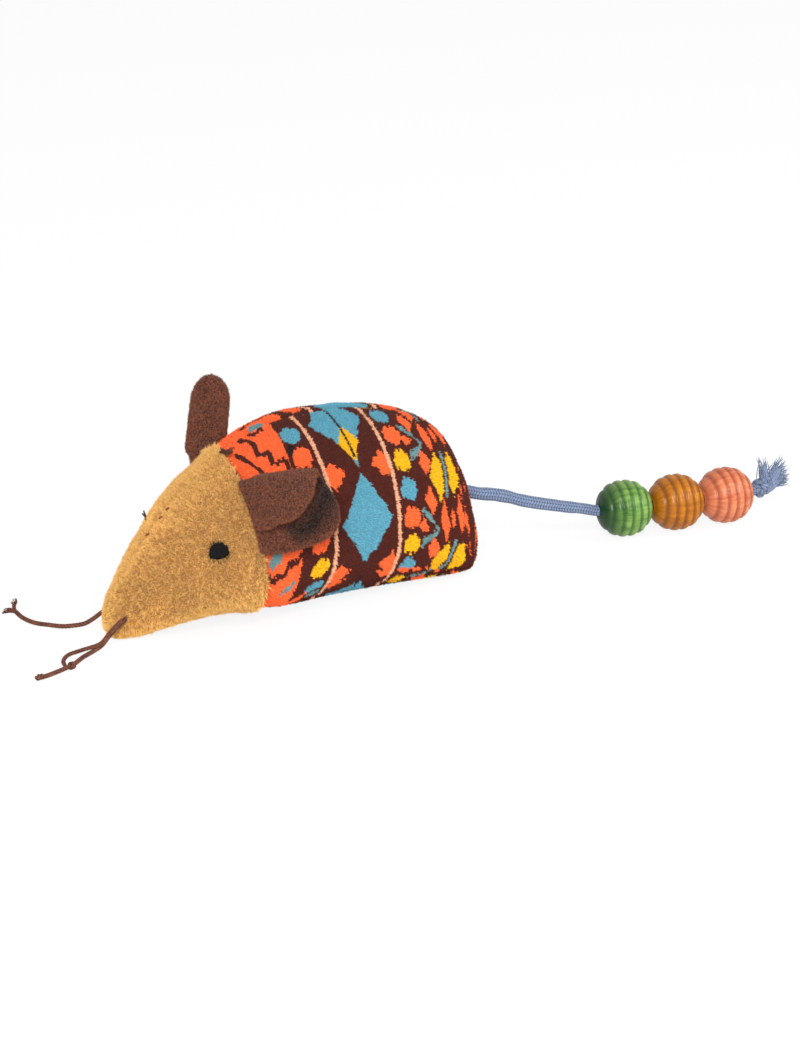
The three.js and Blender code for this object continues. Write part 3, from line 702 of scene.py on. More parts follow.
@dataclass(frozen=True)
class StuffedForm:
    """The shape that the stuffed skin takes, the same as in the frame."""

    head_length: float = 27.0
    body_length: float = 55.0
    neck_height: float = 31.6
    neck_width: float = 37.0
    body_height: float = 37.8
    body_width: float = 38.0
    nose_turn: float = 1.8
    neck_tuck: float = 1.8
    rest_depth: float = 0.5
    base_seam: float = 2.4
    head_crown: Table = (
        (0, 1), (0.26, 0.895), (0.48, 0.735), (0.67, 0.57), (0.87, 0.355), (0.96, 0.235), (1, 0.125),
    )
    head_width: Table = ((0, 1), (0.37, 0.735), (0.67, 0.475), (0.87, 0.27), (0.96, 0.165), (1, 0.03))
    head_girth: Table = ((0, 0.37), (0.37, 0.27), (0.74, 0.16), (1, 0.085))
    head_sole: Table = ((0, 1), (0.3, 1), (0.55, 0.6), (0.78, 0.1), (0.88, 0), (0.96, 0.25), (1, 1.1))
    body_crown: Table = (
        (0, 0.836), (0.073, 0.935), (0.182, 0.995), (0.327, 1.01), (0.49, 1), (0.636, 0.967),
        (0.764, 0.91), (0.855, 0.83), (0.918, 0.7), (0.955, 0.545), (0.98, 0.37), (0.994, 0.21), (1, 0.12),
    )
    body_breadth: Table = (
        (0, 0.974), (0.182, 0.99), (0.364, 1), (0.545, 0.974), (0.69, 0.92), (0.818, 0.82),
        (0.909, 0.69), (0.955, 0.56), (0.98, 0.42), (0.994, 0.25), (1, 0.04),
    )
    body_girth: Table = ((0, 0.318), (0.22, 0.423), (0.455, 0.455), (0.727, 0.37), (0.909, 0.21), (1, 0.09))
    body_sole: Table = ((0, 1), (0.15, 0.12), (0.3, 0), (0.93, 0), (0.985, 0.35), (1, 1.1))
    upper_round: Table = ((-1, 2), (-0.3, 1.9), (0, 1.75), (0.15, 1.85), (0.36, 2), (1, 2))
    lower_round: Table = ((-1, 2.1), (-0.5, 2), (0, 2), (0.36, 1.9), (0.7, 2.2), (1, 3.2))

    @property
    def neck(self) -> float:
        """X of the neck seam."""
        return (self.head_length - self.body_length) / 2

    @property
    def nose(self) -> float:
        """X of the nose's tip."""
        return self.neck - self.head_length

    @property
    def rump(self) -> float:
        """X of the rump."""
        return self.neck + self.body_length

    def share(self, x: float) -> float:
        """Give how far a place is from the neck, -1 at the nose and 1 at the rump."""
        return (x - self.neck) / (self.head_length if x < self.neck else self.body_length)

    def _profile(self, x: float, head: Table, body: Table, size: Pair) -> float:
        """Read a profile from the head's or the body's table."""
        share = self.share(x)
        return size[0] * follow(head, -share) if share < 0 else size[1] * follow(body, share)

    def crown(self, x: float) -> float:
        """Height of the spine."""
        return self._profile(x, self.head_crown, self.body_crown, (self.neck_height, self.body_height))

    def half_width(self, x: float) -> float:
        """Half of the width."""
        sizes = self.neck_width / 2, self.body_width / 2
        return self._profile(x, self.head_width, self.body_breadth, sizes)

    def girth(self, x: float) -> float:
        """Height of the widest line."""
        return self._profile(x, self.head_girth, self.body_girth, (self.neck_height, self.body_height))

    def sole(self, x: float) -> float:
        """Height of the underside's middle."""
        return self._profile(x, self.head_sole, self.body_sole, (1.0, 1.0)) * (
            self.neck_tuck + self.rest_depth) - self.rest_depth

    def centre(self, x: float) -> float:
        """Y of the middle line."""
        return -self.nose_turn * self.share(x) ** 2 if x < self.neck else 0.0

    def half(self, x: float, upper: bool) -> Pair:
        """Give the upper or lower half's power of roundness and its reach from the widest line."""
        power = follow(self.upper_round if upper else self.lower_round, self.share(x))
        return power, self.crown(x) - self.girth(x) if upper else self.girth(x) - self.sole(x)

    def on_ring(self, x: float, angle: float, side: Side) -> Vector:
        """Give a point of the outer face.

        Args:
            x: The place along the mouse.
            angle: 0 at the spine and pi under the belly.
            side: The flank.

        Returns:
            The point.
        """
        power, reach = self.half(x, cos(angle) >= 0)
        out = abs(sin(angle)) ** (2 / power)
        rise = copysign(abs(cos(angle)) ** (2 / power), cos(angle))
        y = self.centre(x) + side.value * self.half_width(x) * out
        return Vector((x, y, self.girth(x) + reach * rise))

    def seam_angle(self, x: float) -> float:
        """Angle at which the base panel's seam lies.

        Args:
            x: The place along the mouse.

        Returns:
            The angle.
        """
        height = min(max(self.sole(x), 0.0) + self.base_seam, self.crown(x) - 0.4) - self.girth(x)
        power, reach = self.half(x, height >= 0)
        angle = acos((abs(height) / reach) ** (power / 2))
        return pi - angle if height < 0 else angle

    def even_ring(self, x: float, start: float, end: float, count: int,
                  side: Side) -> list[tuple[Vector, float]]:
        """Spread points evenly over part of a cross-section.

        Args:
            x: The place along the mouse.
            start: The angle to start at.
            end: The angle to end at.
            count: How many points.
            side: The flank.

        Returns:
            Each point with its distance down from the spine.
        """
        fine = 150
        angles = [pi * k / fine for k in range(fine + 1)]
        points = [self.on_ring(x, angle, side) for angle in angles]
        run = measured(points)
        first, last = read(start, angles, run), read(end, angles, run)
        spots = [first + (last - first) * k / (count - 1) for k in range(count)]
        return [(read(spot, run, points), spot) for spot in spots]

    def pushed_out(self, point: Vector, gap: float) -> Vector:
        """Move a point out of the form along its cross-section.

        Args:
            point: The point.
            gap: The least clearance that it gets.

        Returns:
            The point, moved only where it was closer.
        """
        x = min(max(point.x, self.nose + 0.5), self.rump - 0.5)
        away = Vector((0.0, point.y - self.centre(x), point.z - self.girth(x)))
        power, reach = self.half(x, away.z >= 0)
        share = (abs(away.y / self.half_width(x)) ** power + abs(away.z / reach) ** power) ** (1 / power)
        length = max(away.length, 1e-6)
        missing = length / max(share, 1e-6) + gap - length
        return point + away / length * missing if missing > 0 else point

    def cloth_u(self, x: float) -> float:
        """Distance behind the neck seam along the flank's cloth.

        Args:
            x: The place along the mouse.

        Returns:
            The distance.
        """
        if x <= self.neck + 40:
            return x - self.neck
        total, steps = 40.0, 40
        start = self.neck + 40
        for k in range(steps):
            a, b = (start + (x - start) * (k + j) / steps for j in (0, 1))
            total += hypot(b - a, self.half_width(b) - self.half_width(a))
        return total


class Builder:
    """Turns rows of points in millimetres into mesh objects."""

    @staticmethod
    def add(name: str, points: Iterable[Vector], faces: Iterable[Sequence[int]], smooth: bool = True,
            mend: bool = False) -> Thing:
        """Make an object.

        Args:
            name: The object's name.
            points: Its points, in millimetres.
            faces: Its faces.
            smooth: Whether it is shaded smooth.
            mend: Whether doubles are merged and faces turned outwards.

        Returns:
            The new object, at the origin.
        """
        mesh = bpy.data.meshes.new(name)
        mesh.from_pydata([tuple(p * MM) for p in points], [], [tuple(f) for f in faces])
        if mend:
            Builder.mended(mesh, 0.002 * MM)
        mesh.polygons.foreach_set("use_smooth", [smooth] * len(mesh.polygons))
        mesh.update()
        return Builder.placed(name, mesh)

    @staticmethod
    def placed(name: str, data: bpy.types.ID) -> Thing:
        """Put a mesh, lamp or camera into the scene."""
        thing = bpy.data.objects.new(name, data)
        bpy.context.scene.collection.objects.link(thing)
        return thing

    @staticmethod
    def mended(mesh: bpy.types.Mesh, merge: float = 0.0) -> None:
        """Turn a mesh's faces outwards, after its doubles are merged.

        Args:
            mesh: The mesh.
            merge: How close two points are merged, or 0 to merge none.
        """
        work = bmesh.new()
        work.from_mesh(mesh)
        if merge:
            bmesh.ops.remove_doubles(work, verts=work.verts, dist=merge)
            bmesh.ops.dissolve_degenerate(work, edges=work.edges, dist=merge / 2)
        bmesh.ops.recalc_face_normals(work, faces=work.faces)
        work.to_mesh(mesh)
        work.free()

    @staticmethod
    def ring_faces(rings: int, sides: int) -> list[tuple[int, ...]]:
        """List the faces of a tube of rings with its two ends closed.

        Args:
            rings: How many rings.
            sides: How many points each has.

        Returns:
            The faces.
        """
        faces = []
        for k in range(0, (rings - 1) * sides, sides):
            for i in range(sides):
                after = (i + 1) % sides
                faces.append((k + i, k + after, k + sides + after, k + sides + i))
        faces.append(tuple(range(sides - 1, -1, -1)))
        faces.append(tuple((rings - 1) * sides + i for i in range(sides)))
        return faces

    @staticmethod
    def grid_faces(rows: int, across: int, start: int = 0, turned: bool = False) -> list[tuple[int, ...]]:
        """List the faces of an open grid, turned over if asked.

        Args:
            rows: Its rows.
            across: Its points across.
            start: Its first point's number.
            turned: Whether they are turned over.

        Returns:
            The faces.
        """
        faces = []
        for r in range(rows - 1):
            for c in range(across - 1):
                a = start + r * across + c
                face = (a, a + 1, a + across + 1, a + across)
                faces.append(face[::-1] if turned else face)
        return faces

    @staticmethod
    def normals(rows: Rows) -> Rows:
        """Give the unit normal at each point of a grid.

        Args:
            rows: The grid.

        Returns:
            The normals.
        """
        last_row, last_col = len(rows) - 1, len(rows[0]) - 1
        result = []
        for r, row in enumerate(rows):
            line = []
            for c in range(len(row)):
                along = rows[min(r + 1, last_row)][c] - rows[max(r - 1, 0)][c]
                over = row[min(c + 1, last_col)] - row[max(c - 1, 0)]
                normal = along.cross(over)
                line.append(normal.normalized() if normal.length > 1e-9 else Vector((0, 0, 0)))
            result.append(line)
        return result

    @classmethod
    def shell(cls, name: str, outer: Rows, inner: Rows) -> Thing:
        """Close two grids of the same size into one shell with a rim.

        Args:
            name: The object's name.
            outer: The outer grid.
            inner: The inner grid.

        Returns:
            The new object.
        """
        rows, across = len(outer), len(outer[0])
        count = rows * across
        faces = cls.grid_faces(rows, across) + cls.grid_faces(rows, across, count, True)
        edge = list(range(across))
        edge += [r * across + across - 1 for r in range(1, rows)]
        edge += [(rows - 1) * across + c for c in range(across - 2, -1, -1)]
        edge += [r * across for r in range(rows - 2, 0, -1)]
        for a, b in zip(edge, edge[1:] + edge[:1]):
            faces.append((b, a, a + count, b + count))
        points = [p for grid in (outer, inner) for row in grid for p in row]
        return cls.add(name, points, faces, mend=True)

    @classmethod
    def lofted(cls, name: str, rings: Rows) -> Thing:
        """Join closed rings of points into one closed form."""
        faces = cls.ring_faces(len(rings), len(rings[0]))
        return cls.add(name, [p for ring in rings for p in ring], faces, mend=True)

    @staticmethod
    def mark(thing: Thing, name: str, values: Sequence) -> None:
        """Store numbers or vectors as an attribute of an object's points.

        Args:
            thing: The object.
            name: The attribute's name.
            values: One value for each point.
        """
        if isinstance(values[0], tuple):
            layer = thing.data.attributes.new(name, "FLOAT_VECTOR", "POINT")
            layer.data.foreach_set("vector", [x for value in values for x in value])
        else:
            thing.data.attributes.new(name, "FLOAT", "POINT").data.foreach_set("value", values)

    @classmethod
    def stamped(cls, thing: Thing, spots: Sequence[Vector], name: str, values: Sequence) -> None:
        """Store on each point of an object the value of the nearest spot.

        Args:
            thing: The object.
            spots: Places in millimetres.
            name: The attribute's name.
            values: The value at each spot.
        """
        tree = KDTree(len(spots))
        for k, spot in enumerate(spots):
            tree.insert(spot * MM, k)
        tree.balance()
        cls.mark(thing, name, [values[tree.find(v.co)[1]] for v in thing.data.vertices])

    @staticmethod
    def joined(name: str, parts: Sequence[Thing]) -> Thing:
        """Join several mesh objects into one with the name given.

        Args:
            name: The name.
            parts: The objects.

        Returns:
            The one object.
        """
        for part in bpy.context.selected_objects:
            part.select_set(False)
        for part in parts:
            part.select_set(True)
        bpy.context.view_layer.objects.active = parts[0]
        bpy.ops.object.join()
        parts[0].name = name
        parts[0].data.name = name
        return parts[0]


def dressed(thing: Thing, material: Material | None = None, body: str = "mouse") -> Thing:
    """Finish a piece and tie it to the frame, in the place of the node that its name gives.

    Args:
        thing: The piece.
        material: Its material, if it has none yet.
        body: The body that it moves with.

    Returns:
        The piece.
    """
    if material:
        thing.data.materials.clear()
        thing.data.materials.append(material)
    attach(thing, body)
    node, _, rest = thing.name.partition(".")
    if rest == "dressed":
        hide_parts(node)
    LOG.info("%s: %d faces, rides on %s", thing.name, len(thing.data.polygons), body)
    return thing


def loose_cord(line: "Route", steps: int,
               on_it: list[Thing]) -> None:
    """Spread evenly spaced points along a cord's line, from its start at the mouse to its end, and keep none
    of them.
    """
    line.spread(steps)


class Rule(Draft):
    """A geometry node tree with named inputs that ends in plain, finished mesh."""

    def __init__(self, name: str) -> None:
        """Start a tree that takes a geometry and gives one.

        Args:
            name: The tree's name.
        """
        super().__init__(bpy.data.node_groups.new(name, "GeometryNodeTree"))
        for way in ("INPUT", "OUTPUT"):
            self.tree.interface.new_socket("Geometry", in_out=way, socket_type="NodeSocketGeometry")
        self.start = self.node("NodeGroupInput")
        self.values: dict[str, object] = {}

    def size(self, name: str, value: object, kind: str = "NodeSocketFloat") -> Socket:
        """Add a named input with its value and give its socket."""
        self.tree.interface.new_socket(name, in_out="INPUT", socket_type=kind)
        self.values[name] = value
        return self.start.outputs[name]

    def sized(self, name: str, value: float) -> Amount:
        """Add a named input and give it as an amount."""
        return self.amount(self.size(name, value))

    def random(self, low: float, high: float, seed: object) -> Amount:
        """Give each item a random number in a range."""
        values = {2: low, 3: high, "Seed": seed}
        return self.amount(self.out("FunctionNodeRandomValue", values, 1, data_type="FLOAT"))

    def named(self, name: str, kind: str = "FLOAT") -> Socket:
        """Read an attribute of the geometry."""
        return self.out("GeometryNodeInputNamedAttribute", {"Name": name}, data_type=kind)

    def stored(self, geometry: Socket, name: str, value: object, domain: str = "POINT",
               kind: str = "FLOAT") -> Socket:
        """Store an attribute on the geometry."""
        values = {"Geometry": geometry, "Name": name, "Value": value}
        return self.out("GeometryNodeStoreNamedAttribute", values, domain=domain, data_type=kind)

    def strewn(self, points: Socket, item: Socket, way: Socket, size: Socket) -> Socket:
        """Put an item on each point, with its top along a way and its own size."""
        turned = self.out("FunctionNodeAlignRotationToVector", {"Vector": way}, axis="Z")
        return self.out("GeometryNodeInstanceOnPoints", {
            "Points": points, "Instance": item, "Rotation": turned, "Scale": size})

    def spike(self, corners: int, top: float, bottom: float, depth: float) -> Socket:
        """Make a low cone or a spike.

        Args:
            corners: Its corners.
            top: Its radius at the top.
            bottom: At the bottom.
            depth: Its height.

        Returns:
            The mesh.
        """
        return self.out("GeometryNodeMeshCone", {
            "Vertices": corners, "Side Segments": 1,
            "Radius Top": top, "Radius Bottom": bottom, "Depth": depth,
        }, "Mesh", fill_type="NGON")

    def end(self, geometry: Socket, finish: Material) -> None:
        """Close the tree with real geometry and its material.

        Args:
            geometry: What the tree has made.
            finish: The material.
        """
        material = self.size("Finish", finish, "NodeSocketMaterial")
        real = self.out("GeometryNodeRealizeInstances", {"Geometry": geometry})
        coated = self.out("GeometryNodeSetMaterial", {"Geometry": real, "Material": material})
        self.node("NodeGroupOutput", {0: coated})

    def applied(self, thing: Thing) -> Thing:
        """Run the tree on an object and keep the result as a plain mesh.

        Args:
            thing: The object that the tree starts from.

        Returns:
            The same object with its new mesh and no modifier.
        """
        modifier = thing.modifiers.new("rule", "NODES")
        modifier.node_group = self.tree
        for item in self.tree.interface.items_tree:
            if item.item_type == "SOCKET" and item.in_out == "INPUT" and item.name in self.values:
                modifier[item.identifier] = self.values[item.name]
        graph = bpy.context.evaluated_depsgraph_get()
        mesh = bpy.data.meshes.new_from_object(
            thing.evaluated_get(graph), preserve_all_data_layers=True, depsgraph=graph)
        thing.modifiers.clear()
        thing.data = mesh
        mesh.name = thing.name
        return thing


@dataclass(frozen=True)
class Pile:
    """Short fibres that stand on cloth, grown by a node tree."""

    length: float
    width: float
    per_square: float
    clump: float
    lean: float
    scatter: float
    comb: Triple = (0.0, 0.0, 0.0)
    seed: int = 7
    floor_gap: float = 0.02

    def grown(self, name: str, ground: Thing, finish: Material) -> Thing:
        """Grow the fibres on an open ground mesh, which they replace.

        Args:
            name: The fibres' name.
            ground: A mesh whose points carry a nap share and the cloth's places.
            finish: The fibres' material.

        Returns:
            The fibres as one plain mesh.
        """
        rule = Rule(name)
        length, width, density, cells, lean, scatter = (rule.sized(name, value) for name, value in (
            ("Fibre length", self.length * MM), ("Fibre width", self.width * MM),
            ("Fibres per square metre", self.per_square / MM ** 2), ("Clumps per metre", self.clump / MM),
            ("Lean of a clump", self.lean), ("Scatter", self.scatter)))
        comb = rule.size("Comb", self.comb, "NodeSocketVector")
        seed = rule.size("Seed", self.seed, "NodeSocketInt")
        nap = rule.amount(rule.named("nap"))
        spread = rule.node("GeometryNodeDistributePointsOnFaces", {
            "Mesh": rule.start.outputs["Geometry"], "Density": density * nap, "Seed": seed,
        }, distribute_method="RANDOM")
        place = rule.out("GeometryNodeInputPosition")
        wool = rule.node("ShaderNodeTexNoise", {"Vector": place, "Scale": cells, "Detail": 1.0})
        sway = rule.scaled(rule.vector("SUBTRACT", wool.outputs["Color"], (0.5, 0.5, 0.5)), lean)
        loose = rule.out("FunctionNodeRandomValue", {0: (-1, -1, -1), 1: (1, 1, 1), "Seed": seed},
                         data_type="FLOAT_VECTOR")
        combed = rule.scaled(comb, rule.amount(rule.named("sweep")))
        way = rule.vector("ADD", rule.vector("ADD", spread.outputs["Normal"], sway),
                          rule.vector("ADD", rule.scaled(loose, scatter), combed))
        across, deep, high = rule.split(place)
        fibre = rule.stored(rule.spike(3, 0.0, 0.5, 1.0), "tip", high)
        clump_length = rule.amount(wool.outputs[0]) * 1.5 + 0.25
        tall = rule.random(0.65, 1.25, seed) * clump_length * nap.root() * length
        fibres = rule.strewn(spread.outputs["Points"], fibre, way, rule.joined(width, width, tall))
        fibres = rule.stored(fibres, "strand", rule.random(0.0, 1.0, seed), "INSTANCE")
        fibres = rule.out("GeometryNodeRealizeInstances", {"Geometry": fibres})
        held = rule.joined(across, deep, high.most(self.floor_gap * MM))
        rule.end(rule.out("GeometryNodeSetPosition", {"Geometry": fibres, "Position": held}), finish)
        ground.name = name
        return rule.applied(ground)


class Route:
    """A smooth line through points, read by the distance along it."""

    def __init__(self, points: Sequence[Sequence[float]], fine: float = 0.08) -> None:
        """Run a centripetal curve through the points.

        Args:
            points: The places that it passes, in millimetres.
            fine: The step at which it is stored.
        """
        spots = [Vector(p) for p in points]
        spots = [spots[0] * 2 - spots[1], *spots, spots[-1] * 2 - spots[-2]]
        self.points: list[Vector] = [spots[1]]
        for k in range(1, len(spots) - 2):
            a, b, c, d = spots[k - 1:k + 3]
            knots = [0.0]
            for before, after in ((a, b), (b, c), (c, d)):
                knots.append(knots[-1] + max((after - before).length, 1e-6) ** 0.5)
            count = max(int((c - b).length / fine), 2)
            for i in range(1, count + 1):
                t = knots[1] + (knots[2] - knots[1]) * i / count
                self.points.append(self._between((a, b, c, d), knots, t))
        self.run = measured(self.points)

    @staticmethod
    def _between(spots: Sequence[Vector], knots: Sequence[float], t: float) -> Vector:
        """Interpolate between the second and the third of four points.

        Args:
            spots: The points.
            knots: Their places on the curve.
            t: The place that is wanted.

        Returns:
            The point.
        """
        level = list(spots)
        for depth in (1, 2, 3):
            following = []
            for i in range(len(level) - 1):
                low, high = (i, i + depth) if depth < 3 else (1, 2)
                share = (t - knots[low]) / (knots[high] - knots[low])
                following.append(level[i] * (1 - share) + level[i + 1] * share)
            level = following
        return level[0]

    @property
    def length(self) -> float:
        """The line's whole length."""
        return self.run[-1]

    def at(self, distance: float) -> Vector:
        """Give the point at a distance along the line.

        Args:
            distance: The distance.

        Returns:
            The point.
        """
        target = min(max(distance, 0.0), self.length)
        high = min(bisect_right(self.run, target), len(self.run) - 1)
        low = high - 1
        span = max(self.run[high] - self.run[low], 1e-9)
        return self.points[low].lerp(self.points[high], (target - self.run[low]) / span)

    def spread(self, count: int) -> list[Vector]:
        """Give evenly spaced points in metres."""
        return [self.at(self.length * k / (count - 1)) * MM for k in range(count)]


@dataclass
class Strand:
    """A cord swept along a route, with relief and closed, rounded ends."""

    route: Route
    width: float
    relief: Relief
    sides: int = 24
    step: float = 0.2
    depth: float = 0.3
    taper: float = 0.5
    thin: Callable[[float], float] = field(default=lambda share: 1.0)

    def built(self, name: str) -> Thing:
        """Sweep the cord.

        Args:
            name: The object's name.

        Returns:
            The mesh, with its relief stored for the finish.
        """
        length = self.route.length
        count = max(int(length / self.step), 6)
        points, height = [], []
        ahead = (self.route.at(self.step) - self.route.at(0)).normalized()
        side = ahead.orthogonal().normalized()
        for k in range(count + 1):
            run = length * k / count
            here = self.route.at(run)
            fresh = (self.route.at(run + 0.1) - self.route.at(run - 0.1)).normalized()
            side = (side - fresh * side.dot(fresh)).normalized()
            up = fresh.cross(side)
            end = min(run, length - run)
            cap = sqrt(max(1 - (1 - min(end / self.taper, 1.0)) ** 2, 0.0))
            for i in range(self.sides):
                angle = TAU * i / self.sides
                relief = self.relief(angle, run)
                radius = self.width / 2 * self.thin(run / length) * (1 - self.depth * (1 - relief))
                radius *= max(cap, 0.03)
                points.append(here + (side * cos(angle) + up * sin(angle)) * radius)
                height.append(relief)
        thing = Builder.add(name, points, Builder.ring_faces(count + 1, self.sides))
        Builder.mark(thing, "relief", height)
        return thing


def twisted(plies: int, pitch: float) -> Relief:
    """Give the relief of plies laid round each other.

    Args:
        plies: How many.
        pitch: The length of a whole turn.

    Returns:
        The relief by angle and run.
    """
    def relief(angle: float, run: float) -> float:
        """Height of the surface, from 0 in a groove to 1 on a ply."""
        turn = angle - TAU * run / pitch
        return abs(cos(plies * turn / 2)) ** 0.55

    return relief


def braided(columns: int, pitch: float) -> Relief:
    """Give the relief of a round braid, whose stitches slant one way and then the other.

    Args:
        columns: Its columns of stitches.
        pitch: A stitch's length.

    Returns:
        The relief by angle and run.
    """
    def relief(angle: float, run: float) -> float:
        """Height of the surface, from 0 between stitches to 1 on one.

        Args:
            angle: The place round the cord.
            run: The place along it.

        Returns:
            The height.
        """
        place = columns * angle / TAU
        column, across = int(place) % columns, place % 1.0
        slant = 0.62 * (across if column % 2 else 1 - across)
        ridge = abs(sin(pi * (run / pitch + slant)))
        return (ridge ** 0.7) * (0.35 + 0.65 * sin(pi * across) ** 0.5)

    return relief


@dataclass
class Skin:
    """The panels of cloth that are sewn into the stuffed form, with their pile."""

    form: StuffedForm
    cloth: float = 1.0
    under_pile: float = 0.42
    under_print: float = 0.6
    spacing: float = 0.95
    seam_gap: float = 0.06
    seam_depth: float = 0.5
    seam_reach: float = 1.5
    ridge_depth: float = 0.3
    neck_depth: float = 1.2
    neck_reach: float = 2.2
    lip: float = 0.5
    lip_reach: float = 3.2
    peak: float = 2.4
    peak_reach: Triple = (9.0, 5.0, 11.0)
    lump: float = 0.32
    floor_gap: float = 0.03
    neck_gap: float = 0.15
    across: int = 56
    base_across: int = 15
    worn_height: float = 0.35
    worn_nap: float = 0.15
    base_nap: float = 0.1
    fringe_nap: float = 2.4
    fringe_reach: float = 1.8
    fringe_fall: float = 9.0
    neck_rise: float = 8.0
    head_pile: Pile = Pile(length=0.78, width=0.24, per_square=40.0, clump=1.15, lean=2.3, scatter=0.45,
                           comb=(1.1, 0.0, 0.2))
    body_pile: Pile = Pile(length=0.44, width=0.27, per_square=18.0, clump=1.5, lean=0.9, scatter=0.4,
                           comb=(0.35, 0.0, -0.25))
    right_shift: Pair = (-5.4, 21.0)

    def stations(self, front: float, back: float) -> list[float]:
        """Place cross-sections so that they are evenly spaced over the surface.

        Args:
            front: The first.
            back: The last.

        Returns:
            Their places along the mouse.
        """
        fine = 500
        xs = [front + (back - front) * (1 - cos(pi * k / fine)) / 2 for k in range(fine + 1)]
        run = [0.0]
        for a, b in zip(xs, xs[1:]):
            rise = self.form.crown(b) - self.form.crown(a)
            wide = self.form.half_width(b) - self.form.half_width(a)
            run.append(run[-1] + sqrt((b - a) ** 2 + rise ** 2 * 0.5 + wide ** 2))
        count = int(run[-1] / self.spacing)
        return [read(run[-1] * i / count, run, xs) for i in range(count + 1)]

    def dip(self, distance: float, depth: float, reach: float) -> float:
        """Give how deep the cloth sinks at a distance from its seam."""
        return depth * max(1 - max(distance, 0.0) / reach, 0.0) ** 2

    def peaked(self, behind: float, down: float) -> float:
        """Give how far both cloths stand up where the neck seam crosses the spine."""
        front, back, side = self.peak_reach
        along = max(1 - abs(behind) / (front if behind < 0 else back), 0.0)
        return self.peak * along ** 1.3 * max(1 - down / side, 0.0) ** 1.2

    def lumps(self, point: Vector) -> float:
        """Give the soft unevenness of the stuffing."""
        return self.lump * (noise.noise(point * 0.11) + 0.5 * noise.noise(point * 0.27 + Vector((9, 2, 5))))

    def kept(self, spot: Vector, floor: float, side: Side | None, x: float) -> Vector:
        """Hold a point over the floor and on its own side of the middle.

        Args:
            spot: The point.
            floor: The least height.
            side: Its flank, if it has one.
            x: The place along the mouse.

        Returns:
            The point.
        """
        spot.z = max(spot.z, floor)
        if side:
            middle = self.seam_gap / 2 + side.value * self.form.centre(x)
            spot.y = side.value * max(side.value * spot.y, middle)
        return spot

    def sink(self, point: Vector, from_top: float, from_low: float, on_flank: bool) -> Pair:
        """Give how deep the cloth lies under the form, and how far the neck's fringe covers it.

        Args:
            point: A point of the form.
            from_top: Its distance from the panel's upper seam.
            from_low: Its distance from the lower seam.
            on_flank: Whether it isn't on the base panel.

        Returns:
            The depth and the fringe's share.
        """
        behind, fringe = point.x - self.form.neck, 0.0
        on_head = behind < 0
        sink, depth = (self.under_pile, self.ridge_depth) if on_head else (self.under_print, self.seam_depth)
        sink += self.dip(min(from_top, from_low), depth, self.seam_reach)
        if on_flank:
            sink -= self.peaked(behind, from_top)
        if on_head:
            sink -= self.dip(-behind, self.lip, self.lip_reach)
            fringe = self.dip(-behind, 1.0, self.fringe_reach)
            fringe *= 0.2 + 0.8 * max(1 - from_top / self.fringe_fall, 0.0)
        else:
            share = min(from_top / self.neck_rise, 1.0) if on_flank else 1.0
            sink += self.dip(behind, self.neck_depth, self.neck_reach) * share
        return sink - (self.lumps(point) if on_flank else 0.0), fringe

    def sewn(self, name: str, cut: Cut, side: Side | None, kit: tuple[str, Material, Pile]) -> None:
        """Args:
            name: The node that it replaces.
            cut: Its points on the form and their places on the flat cloth.
            side: Its flank, or None for the base panel.
            kit: The record's slot, the finish and the pile's sizes.
        """
        rows, cloth = cut
        normals = Builder.normals(rows)
        turn = 1 if sum(n.y * side.value if side else -n.z for row in normals for n in row) > 0 else -1
        shift = self.right_shift if side is Side.RIGHT else (0.0, 0.0)
        outer, inner, places, nap, sweep = [], [], [], [], []
        for row, flat, ways in zip(rows, cloth, normals):
            tops, lows = [], []
            for point, (u, v), way in zip(row, flat, ways):
                normal = way * turn
                sink, fringe = self.sink(point, abs(v - flat[0][1]), abs(flat[-1][1] - v), bool(side))
                top = self.kept(point - normal * sink, self.floor_gap, side, point.x)
                floor = (self.floor_gap if side else top.z) + self.cloth * 0.6
                tops.append(top)
                lows.append(self.kept(top - normal * self.cloth, floor, side, point.x))
                places.append((u + shift[0], v + shift[1], 0.0))
                worn = self.worn_nap if side else self.base_nap
                nap.append((1.0 if top.z > self.worn_height else worn) * (1 + self.fringe_nap * fringe))
                sweep.append(fringe if point.x < self.form.neck else 1.0)
            outer.append(tops)
            inner.append(lows)
        shell = Builder.shell(f"{name}.dressed", outer, inner)
        spots = [p for row in outer for p in row]
        faces = Builder.grid_faces(len(outer), len(outer[0]), 0, turn > 0)
        ground = Builder.add(f"{name}_ground", spots, faces)
        for mark, values in (("cloth", places), ("nap", nap), ("sweep", sweep)):
            Builder.mark(ground, mark, values)
        Builder.stamped(shell, spots, "cloth", places)
        slot, material, pile = kit
        dressed(shell, material)
        dressed(pile.grown(f"{name}.pile", ground, material))

    def flank(self, side: Side, xs: Sequence[float], end: Callable[[float], float]) -> Cut:
        """Cut a head or body panel of a flank.

        Args:
            side: The flank.
            xs: The cross-sections, from front to back.
            end: Gives the angle at which it ends at a cross-section.

        Returns:
            Its points on the form and on the flat cloth.
        """
        rings = [self.form.even_ring(x, 0.0, end(x), self.across, side) for x in xs]
        rows = [[p for p, _ in ring] for ring in rings]
        cloth = [[(self.form.cloth_u(x), CLOTH_TOP - down) for _, down in ring] for x, ring in zip(xs, rings)]
        tip, place = (0, 0) if xs[0] < self.form.neck else (-1, len(rows))
        rows.insert(place, [Vector((p.x, self.form.centre(p.x), p.z)) for p in rows[tip]])
        cloth.insert(place, cloth[tip])
        return rows, cloth

